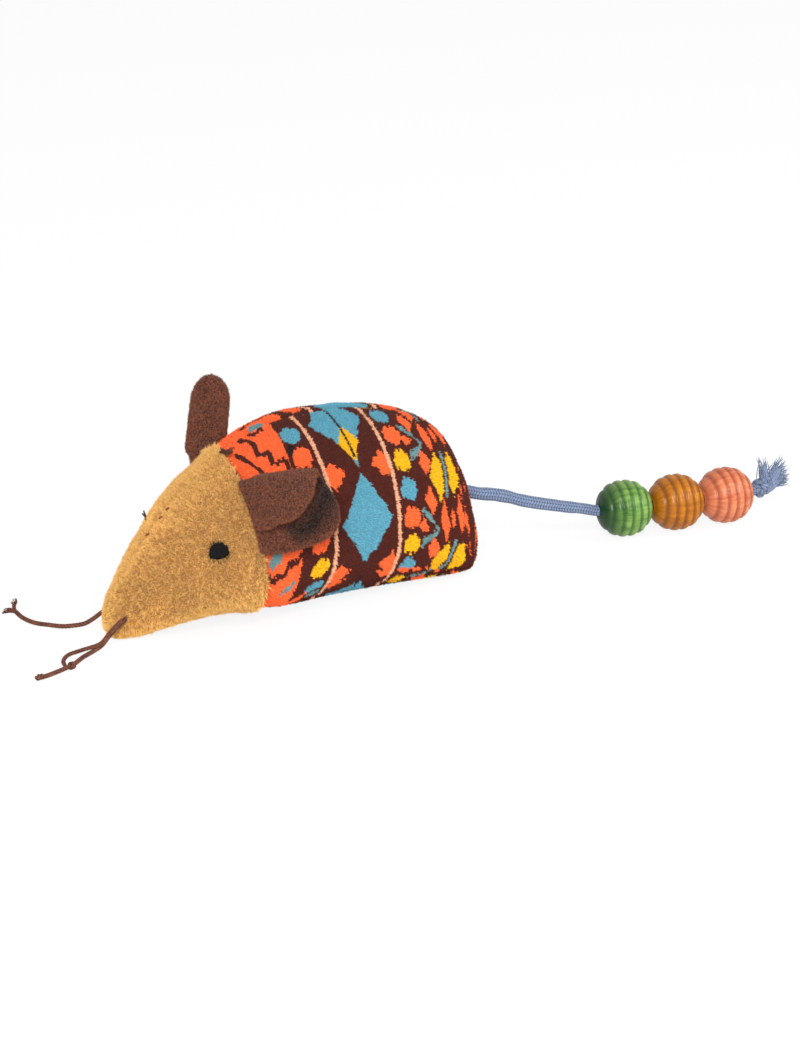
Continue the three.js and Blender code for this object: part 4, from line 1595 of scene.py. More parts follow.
    def base(self, xs: Sequence[float]) -> Cut:
        """Cut the base panel under the body from its two halves.

        Args:
            xs: The cross-sections, from front to back.

        Returns:
            Its points on the form and on the flat cloth.
        """
        rows, cloth = [], []
        for x in xs:
            start, u = self.form.seam_angle(x), self.form.cloth_u(x)
            left, right = (self.form.even_ring(x, start, pi, self.base_across, side) for side in Side)
            rows.append([p for p, _ in left] + [p for p, _ in right[-2::-1]])
            total = left[-1][1]
            downs = [down for _, down in left] + [2 * total - down for _, down in right[-2::-1]]
            cloth.append([(u, CLOTH_TOP - down) for down in downs])
        return rows, cloth

    def built(self) -> None:
        """Build and dress the head, body and base panels with their pile."""
        form = self.form
        tan = ("tan_plush", PlushFinish().made(), self.head_pile)
        printed = ("print_plush", PrintFinish().made(), self.body_pile)
        head_rows = self.stations(form.nose + 0.02, form.neck - self.neck_gap)
        body_rows = self.stations(form.neck + self.neck_gap, form.rump - 0.02)
        for side in Side:
            self.sewn(f"{side.word}_head_panel", self.flank(side, head_rows, lambda x: pi), side, tan)
            self.sewn(f"{side.word}_body_panel", self.flank(side, body_rows, form.seam_angle), side, printed)
        self.sewn("base_panel", self.base(body_rows), None, printed)


@dataclass
class Filling:
    """The fibre that stuffs the skin, with a pocket of dried catnip and room for the tail's knot."""

    form: StuffedForm
    inset: float = 2.3
    neck_inset: float = 1.6
    rear_inset: float = 2.6
    front_gap: float = 7.0
    rear_gap: float = 3.2
    pocket: Triple = (10.6, 8.1, 5.6)
    catnip: Triple = (9.6, 7.1, 4.6)
    catnip_place: Vector = field(default_factory=lambda: Vector((0.0, 0.0, 11.0)))
    knot_place: Vector = field(default_factory=lambda: Vector((33.1, 0.1, 15.8)))
    knot_room: float = 4.0
    around: int = 44
    flakes: int = 1500

    def ring(self, x: float) -> list[Vector]:
        """Give a lumpy cross-section inside the skin.

        Args:
            x: The place along the mouse.

        Returns:
            Its points.
        """
        middle = Vector((x, self.form.centre(x), self.form.girth(x)))
        inset = self.inset + self.neck_inset * exp(-((x - self.form.neck) / 3.0) ** 2)
        inset += self.rear_inset * max(1 - (self.form.rump - self.rear_gap - x) / 9, 0.0)
        points = []
        for k in range(self.around):
            angle = TAU * k / self.around
            side, angle = (Side.RIGHT, angle) if angle <= pi else (Side.LEFT, TAU - angle)
            spoke = self.form.on_ring(x, angle, side) - middle
            lump = 0.5 * noise.noise((middle + spoke) * 0.45)
            points.append(middle + spoke * max(1 - (inset + lump) / max(spoke.length, 0.1), 0.1))
        return points

    def oval(self, name: str, radii: Triple, inward: bool) -> Thing:
        """Make an egg round the catnip's place.

        Args:
            name: The object's name.
            radii: Its radii.
            inward: Whether it faces inwards.

        Returns:
            The egg.
        """
        mesh = bpy.data.meshes.new(name)
        work = bmesh.new()
        bmesh.ops.create_uvsphere(work, u_segments=36, v_segments=20, radius=1.0)
        place = Matrix.Translation(self.catnip_place * MM) @ Matrix.Diagonal((*(r * MM for r in radii), 1.0))
        bmesh.ops.transform(work, matrix=place, verts=work.verts)
        if inward:
            bmesh.ops.reverse_faces(work, faces=work.faces)
        work.to_mesh(mesh)
        work.free()
        return Builder.placed(name, mesh)

    def built(self) -> None:
        """Build the fibre and the catnip."""
        front, rear = self.form.nose + self.front_gap, self.form.rump - self.rear_gap
        rings = [self.ring(front + (rear - front) * k / 60) for k in range(61)]
        for x in (rear - 0.6, rear - 3.0, rear - 6.0, self.knot_place.x - self.knot_room):
            rings.append([self.knot_place + Vector((
                x - self.knot_place.x, self.knot_room * sin(TAU * k / self.around),
                self.knot_room * cos(TAU * k / self.around))) for k in range(self.around)])
        fibre = Builder.lofted("stuffing.dressed", rings)
        fibre = Builder.joined("stuffing.dressed", [fibre, self.oval("pocket", self.pocket, True)])
        white = FillFinish("white_fibre", linear(206, 204, 196), linear(240, 239, 234), 0.8).made()
        dressed(fibre, white)
        leaf = FillFinish("dried_catnip", linear(84, 92, 48), linear(146, 150, 92), 1.4).made()
        heap = self.leaf_rule(leaf).applied(self.oval("catnip_fill.dressed", self.catnip, False))
        dressed(heap)

    def leaf_rule(self, finish: Material) -> Rule:
        """Draw up the rule that strews leaf flakes over the catnip's heap.

        Args:
            finish: The leaf's material.

        Returns:
            The rule.
        """
        rule = Rule("leaf_flakes")
        count = rule.size("Flakes per square metre", self.flakes / (500 * MM ** 2))
        seed = rule.size("Seed", 4, "NodeSocketInt")
        heap = rule.start.outputs["Geometry"]
        spread = rule.node("GeometryNodeDistributePointsOnFaces", {
            "Mesh": heap, "Density": count, "Seed": seed})
        scale = rule.random(0.5, 1.1, seed)
        flakes = rule.strewn(spread.outputs["Points"], rule.spike(4, 0.1 * MM, 0.55 * MM, 0.25 * MM),
                             spread.outputs["Normal"], rule.joined(scale, scale * 0.6, scale))
        both = rule.node("GeometryNodeJoinGeometry")
        for part in (heap, flakes):
            rule.tree.links.new(part, both.inputs[0])
        rule.end(both.outputs[0], finish)
        return rule


@dataclass
class Ear:
    """A round tongue of felt, folded once and sewn into the neck seam."""

    form: StuffedForm
    side: Side
    drop: float
    direction: Vector
    radius: float
    offset: float
    skew: float
    stand: float
    gather: float
    leg: Vector | None = None
    dome: float = 0.0
    flap_length: float = 16.9
    flap_power: float = 2.4
    length: float = 16.9
    width: float = 24.8
    side_length: float = 1.5
    felt: float = 1.2
    seam_radius: float = 0.8
    seam_step: float = 0.25
    root: float = 0.6
    tip_power: float = 2.4
    flap_turn: Pair = (-0.2, 0.3)
    twist: float = 4.6
    gap: float = 0.3
    cut_area: float = 355.0
    pinch: float = 0.0
    hem: float = 0.0
    # How far from the flap's rim the painted shade reaches.
    hollow_reach: float = 4.6
    fuzz: Pile = Pile(length=0.5, width=0.15, per_square=46.0, clump=1.6, lean=1.6, scatter=1.3, seed=11)

    def down_seam(self, distance: float) -> tuple[Vector, Vector]:
        """Give a place on the neck seam and its direction there, from a list that is made once.

        Args:
            distance: The distance down from the spine.

        Returns:
            The place and the direction.
        """
        if not hasattr(self, "_seam"):
            self._seam = []
            ring = self.form.even_ring(self.form.neck, 0.0, pi, 181, self.side)
            step = ring[1][1] - ring[0][1]
            for place in (self.seam_step * k for k in range(200)):
                k = min(int(place / step), len(ring) - 2)
                a, b = ring[k][0], ring[k + 1][0]
                self._seam.append((a.lerp(b, place / step - k), (b - a).normalized()))
        place = min(max(distance / self.seam_step, 0.0), len(self._seam) - 2.0)
        k, share = int(place), place - int(place)
        a, b = self._seam[k:k + 2]
        return a[0].lerp(b[0], share), a[1].lerp(b[1], share).normalized()

    def folded(self, spread: float, along: float) -> Vector:
        """Give a point of the folded sheet's middle.

        Args:
            spread: Distance from the crease over the flat felt.
            along: Distance from the seam.

        Returns:
            The point.
        """
        opening = min(max(along / self.twist, 0.0), 1.0)
        opening *= opening * (3 - 2 * opening)
        radius = self.seam_radius + (self.radius - self.seam_radius) * opening
        quarter = pi / 2 * radius
        turn = min(max(spread / radius, -pi / 2), pi / 2)
        leg = max(abs(spread) - quarter, 0.0)
        down = radius - radius * cos(turn) + leg
        along -= self.dome * (1 - cos(turn)) * opening
        place, tangent = self.down_seam(self.drop + down * (self.gather - self.hem * (1 - opening)))
        if self.leg:
            top, _ = self.down_seam(self.drop)
            place = place.lerp(top + self.leg * down, opening)
            tangent = tangent.lerp(self.leg, opening).normalized()
        apart = tangent.cross(self.direction).normalized()
        if apart.x > 0:
            apart.negate()
        shift = self.stand * (radius + self.felt / 2 + self.gap)
        return place + apart * (shift - radius * sin(turn)) + self.direction * along

    def over(self, column: int, last: int) -> float:
        """Give how far a column of the grid is from the felt's middle, where 1 is its side."""
        return sin(pi / 2 * (2 * column / last - 1))

    def middle(self) -> Rows:
        """Give the middle of the felt as a grid.

        Returns:
            The grid.
        """
        steps, across = 34, 72
        rows = []
        for r in range(steps + 1):
            row = []
            for c in range(across + 1):
                over = self.over(c, across)
                skewed = over - self.skew * (1 - over * over)
                start, end = self.flap_turn
                turned = min(max((over - start) / (end - start), 0.0), 1.0)
                turned *= turned * (3 - 2 * turned)
                power = self.flap_power + (self.tip_power - self.flap_power) * turned
                longest = self.flap_length + (self.length - self.flap_length) * turned
                round_share = max(1 - abs(skewed) ** power, 0.0) ** (1 / power)
                reach = self.side_length + (longest - self.side_length) * round_share
                along = -self.root + (reach + self.root) * r / steps
                narrowed = 1 - self.pinch * max(1 - along / 8, 0.0) ** 2
                point = self.folded(self.offset + over * self.width / 2 * narrowed, along)
                free = min(max((along - 0.6) / 2.0, 0.0), 1.0)
                out = self.form.pushed_out(point, self.felt / 2 + self.gap)
                wrinkle = noise.noise(point * 0.3) * 0.25 * free
                row.append(point.lerp(out, free) + Vector((0.3, 1.0, 0.4)) * wrinkle * self.side.value)
            rows.append(row)
        return rows

    def built(self) -> None:
        """Build the felt with soft edges and its fuzz, and tie them to the ear's body."""
        rows = self.middle()
        normals = Builder.normals(rows)
        last, width = len(rows) - 1, len(rows[0]) - 1
        upper, lower = [], []
        for r, (row, ways) in enumerate(zip(rows, normals)):
            to_rim = min((last - r) / last * self.length, 1.0)
            soft = 0.55 + 0.45 * sqrt(min(to_rim / 0.6, 1.0)) if r > last - 3 else 1.0
            out = [way * (self.felt / 2) * soft for way in ways]
            upper.append([point + way for point, way in zip(row, out)])
            lower.append([point - way for point, way in zip(row, out)])
        crease = min(range(width + 1), key=lambda c: abs(self.offset + self.over(c, width) * self.width / 2))
        sample = int(last * 0.7)
        outer_leg, fold, inner_leg = (rows[sample][crease + aside] for aside in (-9, 0, 9))
        inner = upper if (outer_leg.lerp(inner_leg, 0.5) - fold).dot(normals[sample][crease]) > 0 else lower
        outward = (outer_leg - inner_leg).normalized()
        rim = rows[last][4:crease + 1]
        spots = [point for grid in (upper, lower) for row in grid for point in row]
        # Painted shade: on the back leaf's inner face beyond the crease, darkest next to the flap's rim and
        # fading with the distance from it.
        hollow = []
        for grid in (upper, lower):
            for c, point in (spot for row in grid for spot in enumerate(row)):
                deep = 0.0
                if grid is inner and c > crease:
                    apart = [point - other for other in rim]
                    aside = min((gap - outward * gap.dot(outward)).length for gap in apart)
                    reach = self.hollow_reach * (1 - 0.6 * (c - crease) / (width - crease))
                    deep = max(1 - aside / reach, 0.0) ** 0.7
                hollow.append(deep)
        name = f"{self.side.word}_ear"
        felt = FeltFinish(name=f"{self.side.word}_brown_felt").made()
        sheet, ground = (Builder.shell(f"{name}{end}", upper, lower) for end in (".dressed", "_ground"))
        for mark, value in (("nap", 1.0), ("sweep", 0.0)):
            Builder.mark(ground, mark, [value] * len(ground.data.vertices))
        for thing in (sheet, ground):
            Builder.stamped(thing, spots, "hollow", hollow)
        dressed(sheet, felt, name)
        dressed(self.fuzz.grown(f"{name}.fuzz", ground, felt), body=name)


@dataclass
class Stitching:
    """The thread stitches that show on the ridge of the nose, and the loose thread ends."""

    form: StuffedForm
    places: tuple = ((-20.2, 0.05), (-26.6, 0.07), (-28.2, 0.07), (-31.1, 0.05))
    wisps: tuple = (
        ((-28.6, 4.3, 19.6), (-28.5, 4.75, 20.9), (-28.7, 5.2, 21.9)),
        ((-28.6, 4.3, 19.6), (-28.6, 4.8, 20.7), (-29.1, 5.1, 21.4)),
    )
    tangle_place: tuple = (-14.5, -2.3, 33.6)
    tangle: int = 40
    length: float = 0.95
    width: float = 0.5

    def rule(self, finish: Material) -> Rule:
        """Draw up the rule that lays a stitch at each point.

        Args:
            finish: The thread's material.

        Returns:
            The rule.
        """
        rule = Rule("stitches")
        length = rule.sized("Stitch length", self.length * MM)
        width = rule.sized("Stitch width", self.width * MM)
        stitch = rule.out("GeometryNodeMeshUVSphere", {"Segments": 10, "Rings": 7, "Radius": 0.5})
        laid = rule.strewn(rule.start.outputs["Geometry"], stitch, rule.named("way", "FLOAT_VECTOR"),
                           rule.joined(width, width, length))
        rule.end(laid, finish)
        return rule

    def built(self) -> None:
        """Lay the stitches and the thread ends."""
        thread = CottonFinish("ridge_thread", linear(126, 72, 30), linear(168, 104, 50), sheen=0.0).made()
        spots = [self.form.on_ring(x, angle, Side.LEFT) + Vector((0, -0.05, 0.3)) for x, angle in self.places]
        base = Builder.add("ridge_stitches", spots, [])
        Builder.mark(base, "way", [(0.75, -0.3, 0.6)] * len(spots))
        dressed(self.rule(thread).applied(base))
        chance = random.Random(12)
        dark = CottonFinish("loose_thread", linear(30, 20, 16), linear(74, 50, 40), sheen=0.0).made()
        lay = twisted(2, 1.0)
        ends = [Strand(Route(wisp, 0.2), 0.36, lay, sides=6, depth=0.2, taper=0.15).built("wisp")
                for wisp in self.wisps]
        for _ in range(self.tangle):
            root = Vector(self.tangle_place) + Vector((chance.gauss(0, 0.45), chance.gauss(0, 0.6), 0.0))
            way = Vector((chance.uniform(-0.6, 1.2), chance.uniform(-1.2, 0.4), chance.uniform(0.0, 0.7)))
            bend = Vector([chance.gauss(0, 0.25) for _ in range(3)])
            line = Route([root - way * 0.3, root + way * 0.5 + bend, root + way * 1.1], 0.2)
            ends.append(Strand(line, 0.22, lay, sides=4, step=0.3, depth=0.1, taper=0.1).built("end"))
        dressed(Builder.joined("loose_threads", ends), dark)


@dataclass
class Studio:
    """Camera, lights, floor and background."""

    azimuth: float = -31.0
    elevation: float = 20.5
    distance: float = 600.0
    target: Triple = (24.13, -3.87, 10.93)
    lens: float = 101.25
    world_light: float = 0.55
    key_watts: float = 17.0
    fill_watts: float = 4.5
    floor_size: float = 2.4
    floor_glow: float = 0.86

    def camera(self) -> None:
        """Set the camera at the photograph's angle."""
        a, e = radians(self.azimuth), radians(self.elevation)
        back = Vector((sin(a) * cos(e), -cos(a) * cos(e), sin(e)))
        data = bpy.data.cameras.new("camera")
        data.lens = self.lens
        data.sensor_width = 36.0
        data.sensor_fit = "AUTO"
        data.clip_start = 0.01
        camera = Builder.placed("camera", data)
        camera.location = (Vector(self.target) + back * self.distance) * MM
        camera.rotation_euler = (-back).to_track_quat("-Z", "Y").to_euler()
        bpy.context.scene.camera = camera

    def lamp(self, name: str, place: Triple, watts: float, size: float) -> None:
        """Add a soft square lamp that points at the mouse.

        Args:
            name: Its name.
            place: Where it stands, in metres.
            watts: Its power.
            size: Its side.
        """
        data = bpy.data.lights.new(name, "AREA")
        data.energy = watts
        data.size = size
        lamp = Builder.placed(name, data)
        lamp.location = place
        lamp.rotation_euler = (Vector((0.03, 0, 0.01)) - Vector(place)).to_track_quat("-Z", "Y").to_euler()

    def background(self) -> None:
        """Light the room evenly and show white behind the mouse."""
        world = bpy.data.worlds.new("studio")
        bpy.context.scene.world = world
        world.use_nodes = True
        draft = Draft(world.node_tree)
        draft.tree.nodes.clear()
        shown = draft.rays("Camera", "Glossy", "Transmission")
        strength = shown * (1 - self.world_light) + self.world_light
        light = draft.node("ShaderNodeBackground", {"Color": (1, 1, 1, 1), "Strength": strength})
        draft.node("ShaderNodeOutputWorld", {"Surface": light.outputs[0]})

    def floor(self) -> None:
        """Lay a pale floor that keeps the shadow."""
        half = self.floor_size / 2 / MM
        corners = [Vector((x * half, y * half, 0.0)) for x, y in ((-1, -1), (1, -1), (1, 1), (-1, 1))]
        floor = Builder.add("floor", corners, [(0, 1, 2, 3)], smooth=False)
        recipe = Recipe("floor")
        seen = recipe.rays("Camera", "Glossy")
        recipe.finished(linear(245, 245, 244), Roughness=1.0, Specular_IOR_Level=0.0)
        glow = recipe.node("ShaderNodeEmission", {"Color": (1, 1, 1, 1), "Strength": 1.0})
        shown = recipe.out("ShaderNodeMixShader", {
            0: seen * self.floor_glow, 1: recipe.shader.outputs[0], 2: glow.outputs[0]})
        recipe.tree.links.new(shown, recipe.output.inputs["Surface"])
        floor.data.materials.append(recipe.material)

    def built(self) -> None:
        """Set up the whole studio."""
        bpy.context.scene.view_settings.view_transform = "Standard"
        self.camera()
        self.background()
        self.floor()
        self.lamp("key", (-0.5, -0.85, 0.6), self.key_watts, 0.55)
        self.lamp("fill", (0.75, -0.5, 0.55), self.fill_watts, 0.5)


@dataclass
class Whiskers:
    """The cord through the snout, with the near side's loop, knot and end."""

    cord: float = 1.1
    yarn: float = 0.92
    route: tuple = (
        (-50.8, 18.6, 0.6), (-50.9, 14.7, 0.6), (-49.9, 11.1, 0.6), (-48.1, 8.9, 0.6), (-46.2, 6.9, 0.6),
        (-44.2, 5.6, 0.8), (-42.3, 4.6, 1.2), (-40.6, 4.1, 2.1), (-39.2, 3.4, 3.3), (-38.2, 2.0, 4.4),
        (-37.7, 0.3, 4.9), (-37.6, -1.5, 5.0), (-37.7, -3.3, 5.0), (-38.1, -4.9, 5.0), (-38.9, -6.1, 4.9),
        (-40.3, -6.8, 4.5), (-42.6, -7.3, 3.1), (-44.9, -8.4, 1.8), (-46.85, -8.5, 1.0), (-49.4, -9.7, 0.85),
        (-51.85, -11.8, 1.05), (-53.55, -13.3, 1.3), (-54.9, -13.45, 1.1), (-56.5, -13.3, 0.7),
        (-58.4, -13.7, 0.6), (-59.8, -13.95, 0.6),
    )
    loop: tuple = (
        (-39.2, -6.15, 5.15), (-40.25, -6.7, 4.88), (-42.5, -7.2, 3.52), (-44.8, -8.25, 2.3),
        (-46.2, -8.6, 2.05), (-47.4, -8.5, 1.9), (-48.7, -7.9, 1.5), (-49.6, -7.1, 1.0),
        (-50.6, -6.7, 0.7), (-51.9, -7.3, 0.6), (-53.4, -9.2, 0.6), (-54.0, -11.3, 0.65),
    )
    forks: tuple = (
        ((-50.8, 18.3, 0.6), (-50.6, 19.6, 0.65), (-50.0, 21.0, 0.8), (-49.2, 22.6, 0.75),
         (-48.9, 23.8, 0.7)),
        ((-50.8, 18.3, 0.6), (-51.3, 19.1, 0.65), (-52.0, 19.5, 0.75), (-52.9, 19.5, 0.75)),
    )
    hairs: int = 9
    knob_reach: float = 0.8
    pitch: float = 1.9

    def built(self) -> None:
        """Build the cord and the pieces on it."""
        material = CottonFinish("whisker_cotton", linear(12, 6, 5), linear(96, 56, 42), roughness=0.65,
                                mottle=0.75, sheen=0.0, grain=2.0).made()
        tip, before = Vector(self.route[-1]), Vector(self.route[-2])
        line = Route([*self.route, tip + (tip - before).normalized() * self.knob_reach])
        lay = twisted(3, self.pitch)
        cord, *on_it = (
            Strand(line, self.yarn, lay, sides=18, step=0.16, depth=0.2).built("whisker_cord.dressed"),
            Strand(Route(self.loop), self.yarn * 0.9, lay, sides=18, step=0.16, depth=0.2).built(
                "whisker_loop.dressed"),
            self.knot(), self.end_knot(), self.fray(),
        )
        for piece in (cord, *on_it):
            dressed(piece, material)
        loose_cord(line, 60, on_it)

    def fray(self) -> Thing:
        """Split the far end into two brushes of loose yarn.

        Returns:
            The yarns.
        """
        chance = random.Random(8)
        yarns = []
        for path in self.forks:
            for k in range(self.hairs):
                angle = TAU * k / self.hairs
                points = []
                for i, spot in enumerate(path):
                    wide = 0.17 + 0.58 * (i / (len(path) - 1)) ** 1.3 * chance.uniform(0.5, 1.3)
                    way = Vector((cos(angle), 0.7 * cos(angle + 1), sin(angle)))
                    point = Vector(spot) + way * wide
                    point.z = max(point.z, 0.14)
                    points.append(point)
                yarns.append(Strand(Route(points, 0.2), 0.33, twisted(2, 1.2), sides=6, step=0.25, depth=0.2,
                                    taper=0.15, thin=lambda share: 1.0 - 0.35 * share).built("yarn"))
        return Builder.joined("whisker_fray", yarns)

    def wound(self, name: str, centre: Vector, along: Vector, size: Pair, turns: float) -> Thing:
        """Wind a thread into a small knot.

        Args:
            name: The object's name.
            centre: Its middle.
            along: The direction that its turns follow.
            size: Its length and its radius, to the middle of the thread.
            turns: How often the thread goes round.

        Returns:
            The knot.
        """
        side = along.cross(Vector((0, 0, 1))).normalized()
        up = side.cross(along)
        count = int(turns * 12)
        points = []
        for k in range(count + 1):
            angle = TAU * turns * k / count
            wide = size[1] * (0.75 + 0.25 * sin(pi * k / count))
            points.append(centre + along * size[0] * (k / count - 0.5)
                          + side * wide * cos(angle) + up * wide * sin(angle) * 0.9)
        return Strand(Route(points), 0.74, twisted(3, 1.8), sides=14, step=0.15, depth=0.25).built(name)

    def knot(self) -> Thing:
        """Build the overhand knot that closes the loop."""
        here, before, after = (Vector(self.route[k]) for k in (21, 20, 22))
        return self.wound("whisker_knot.dressed", here, (after - before).normalized(), (0.95, 0.5), 2.0)

    def end_knot(self) -> Thing:
        """Build the knob at the near end.

        Returns:
            The knob.
        """
        tip, before = Vector(self.route[-1]), Vector(self.route[-2])
        along = (tip - before).normalized()
        centre = tip + along * 0.75
        centre.z = 0.8
        return self.wound("whisker_end_knot.dressed", centre, along, (1.35, 0.3), 2.2)


@dataclass
class Tail:
    """The braided cord with its beads, stop knot and frayed end."""

    cord: float = 2.6
    bead_width: float = 12.0
    bead_length: float = 11.7
    bead_pole: float = 11.92
    bead_round: float = 2.15
    bead_bore: float = 2.5
    groove: float = 0.36
    ridges: int = 6
    route: tuple = (
        (36.6, 0.1, 15.3), (39.4, 0.1, 14.9), (42.3, -0.2, 14.3), (45.0, -0.75, 13.5), (48.1, -1.3, 12.9),
        (51.2, -1.8, 12.0), (54.0, -2.3, 10.9), (58.0, -2.95, 9.65), (61.6, -3.5, 8.7), (64.4, -3.95, 7.95),
        (67.2, -4.4, 7.3), (69.4, -4.75, 6.7), (71.4, -5.12, 6.15), (77.5, -6.6, 6.0), (89.031, -9.083, 6.0),
        (100.682, -10.928, 6.0), (106.731, -11.714, 6.0), (108.4, -11.93, 6.2),
    )
    exit_place: tuple = (41.2, -0.1, 14.5)
    bead_places: tuple = ((77.5, -6.6, 6.0), (89.031, -9.083, 6.0), (100.682, -10.928, 6.0))
    bead_axes: tuple = ((0.97155, -0.23684, 0.0), (0.98294, -0.18395, 0.0), (0.99167, -0.1288, 0.0))
    knot_place: tuple = (109.309, -12.048, 6.4)
    anchor_place: tuple = (33.135, 0.1, 15.795)
    tuft_root: tuple = (110.5, -12.0, 6.9)
    tuft_bunches: tuple = (
        (0.2, ((108.3, -11.8, 13.2), (110.0, -11.6, 12.9), (111.3, -11.8, 11.6)), 0.22),
        (0.8, ((114.2, -11.6, 12.6), (115.6, -11.8, 11.5), (116.5, -11.8, 9.6), (116.9, -12.0, 7.9),
               (117.5, -12.0, 5.9)), 0.34),
    )
    cores: tuple = (
        (((109.6, -12.1, 5.8), (110.2, -12.1, 7.6), (110.3, -11.9, 9.4), (110.2, -11.8, 11.2)), 2.2),
        (((109.6, -12.1, 5.6), (111.2, -12.1, 7.0), (112.9, -11.9, 8.4), (114.3, -11.8, 9.9)), 3.3),
        (((109.8, -12.1, 5.4), (111.8, -12.1, 6.4), (113.8, -12.0, 7.3), (115.4, -11.9, 8.1)), 2.7),
    )
    strands: int = 210

    def built(self) -> None:
        """Build the cord and the pieces on it."""
        material = CottonFinish("tail_cotton", linear(46, 54, 76), linear(112, 126, 152), mottle=0.18).made()
        line = Route(self.route)
        cord = Strand(line, self.cord, braided(10, 0.64), sides=50, step=0.11, depth=0.13, thin=self.thinned)
        cord = cord.built("tail_cord.dressed")
        knot = self.knot("tail_end_knot.dressed", Vector(self.knot_place), 4.6, 2.1)
        anchor = self.knot("tail_anchor_knot.dressed", Vector(self.anchor_place), 6.2, 2.6)
        tuft = self.tuft()
        for piece in (cord, knot, anchor, tuft):
            dressed(piece, material)
        loose_cord(line, 70, [knot, tuft, *self.beads()])

    @staticmethod
    def thinned(share: float) -> float:
        """Draw the cord in towards the beads."""
        wobble = 0.1 * noise.noise(Vector((share * 24, 3.1, 0.0)))
        return 1.05 + wobble - 0.13 * min(max((share - 0.2) / 0.3, 0.0), 1.0)

    def knot(self, name: str, centre: Vector, width: float, cord: float) -> Thing:
        """Tie a stop knot.

        Args:
            name: The object's name.
            centre: Its middle.
            width: Its overall width.
            cord: The cord's width in it.

        Returns:
            The knot as one swept strand.
        """
        scale = (width - cord) / 2 / 3.0
        points = []
        for k in range(49):
            t = TAU * k / 48
            points.append(centre + Vector((
                -sin(3 * t) * 1.5, sin(t) + 2 * sin(2 * t), cos(t) - 2 * cos(2 * t),
            )) * scale)
        return Strand(Route(points), cord, braided(8, 1.0), sides=32, step=0.18, depth=0.2).built(name)

    def tuft(self) -> Thing:
        """Fray the cord's end into fine, splayed threads.

        Returns:
            The tuft.
        """
        chance = random.Random(5)
        threads = [
            Strand(Route(path, 0.3), width, self.matted, sides=20, depth=0.45, taper=0.9,
                   thin=lambda share: 1.0 - 0.55 * share ** 2).built("core")
            for path, width in self.cores
        ]
        lay = twisted(2, 1.4)
        for share, tips, spread in self.tuft_bunches:
            fan = Route(tips)
            for _ in range(int(self.strands * share)):
                tip = fan.at(fan.length * chance.random()) + Vector([chance.gauss(0, 0.3) for _ in range(3)])
                root = Vector(self.tuft_root) + Vector([chance.gauss(0, 0.75) for _ in range(3)])
                tip = root.lerp(tip, chance.uniform(0.75, 1.03))
                bend = Vector([chance.gauss(0, spread) for _ in range(3)])
                middle = root.lerp(tip, 0.5) + bend * 0.8
                points = [root, root.lerp(middle, 0.55), middle, middle.lerp(tip, 0.5) + bend * 0.2, tip]
                for point in points:
                    point.z = max(point.z, 0.3)
                threads.append(Strand(Route(points, 0.4), 0.24, lay, sides=4, step=0.7, depth=0.15, taper=0.3,
                                      thin=lambda share: 1.0 - 0.55 * share).built("thread"))
        return Builder.joined("tail_tuft.dressed", threads)

    @staticmethod
    def matted(angle: float, run: float) -> float:
        """Height of loose fibres lying side by side."""
        ridge = abs(sin(4.5 * angle + 0.8 * sin(1.1 * run)))
        return 0.35 + 0.65 * ridge * (0.8 + 0.2 * sin(2.3 * run + 3 * angle))

    def bead_rule(self, finish: Material) -> Rule:
        """Draw up the rule that turns a bead.

        Args:
            finish: The bead's material.

        Returns:
            A node tree that rolls a grid into a grooved ball with a bore.
        """
        rule = Rule("turned_bead")
        width, length, pole, bore, groove = (rule.sized(name, value * MM) for name, value in (
            ("Width", self.bead_width), ("Length", self.bead_length),
            ("Length before its ends are cut", self.bead_pole), ("Bore", self.bead_bore),
            ("Groove depth", self.groove)))
        ridges = rule.sized("Ridges", float(self.ridges))
        profile, around = 120, 88
        turned = profile - 17
        grid = rule.out("GeometryNodeMeshGrid", {
            "Size X": 1.0, "Size Y": 1.0, "Vertices X": profile + 1, "Vertices Y": around + 1})
        x, y, _ = rule.split(rule.out("GeometryNodeInputPosition"))
        share = (x + 0.5) * float(profile)
        inner = share.above(turned + 0.5)
        bored = inner * share.below(profile - 0.5)
        t = (share / turned * 2.0 - 1.0).least(1.0)
        back = (share - (turned + 1.0)) / -8.0 + 1.0
        axial = (t * (1.0 - inner) + back * inner) * length / 2.0
        power = self.bead_round
        ball = (1.0 - (abs(axial) * 2.0 / pole).to_power(power)).to_power(1 / power) * width / 2.0
        ridge = abs(((t + 1.0) * ridges * (pi / 2)).cosine()).to_power(3.6) * abs(t).below(0.97)
        radius = (ball - ridge * groove).most(bore / 2.0) * (1.0 - bored) + bore / 2.0 * bored
        angle = y * TAU
        spot = rule.joined(axial, radius * angle.cosine(), radius * angle.sine())
        stored = rule.stored(grid, "turned", rule.joined(axial / MM, angle, ridge), kind="FLOAT_VECTOR")
        moved = rule.out("GeometryNodeSetPosition", {"Geometry": stored, "Position": spot})
        closed = rule.out("GeometryNodeMergeByDistance", {"Geometry": moved, "Distance": 0.00001})
        rule.end(rule.out("GeometryNodeSetShadeSmooth", {0: closed}), finish)
        return rule

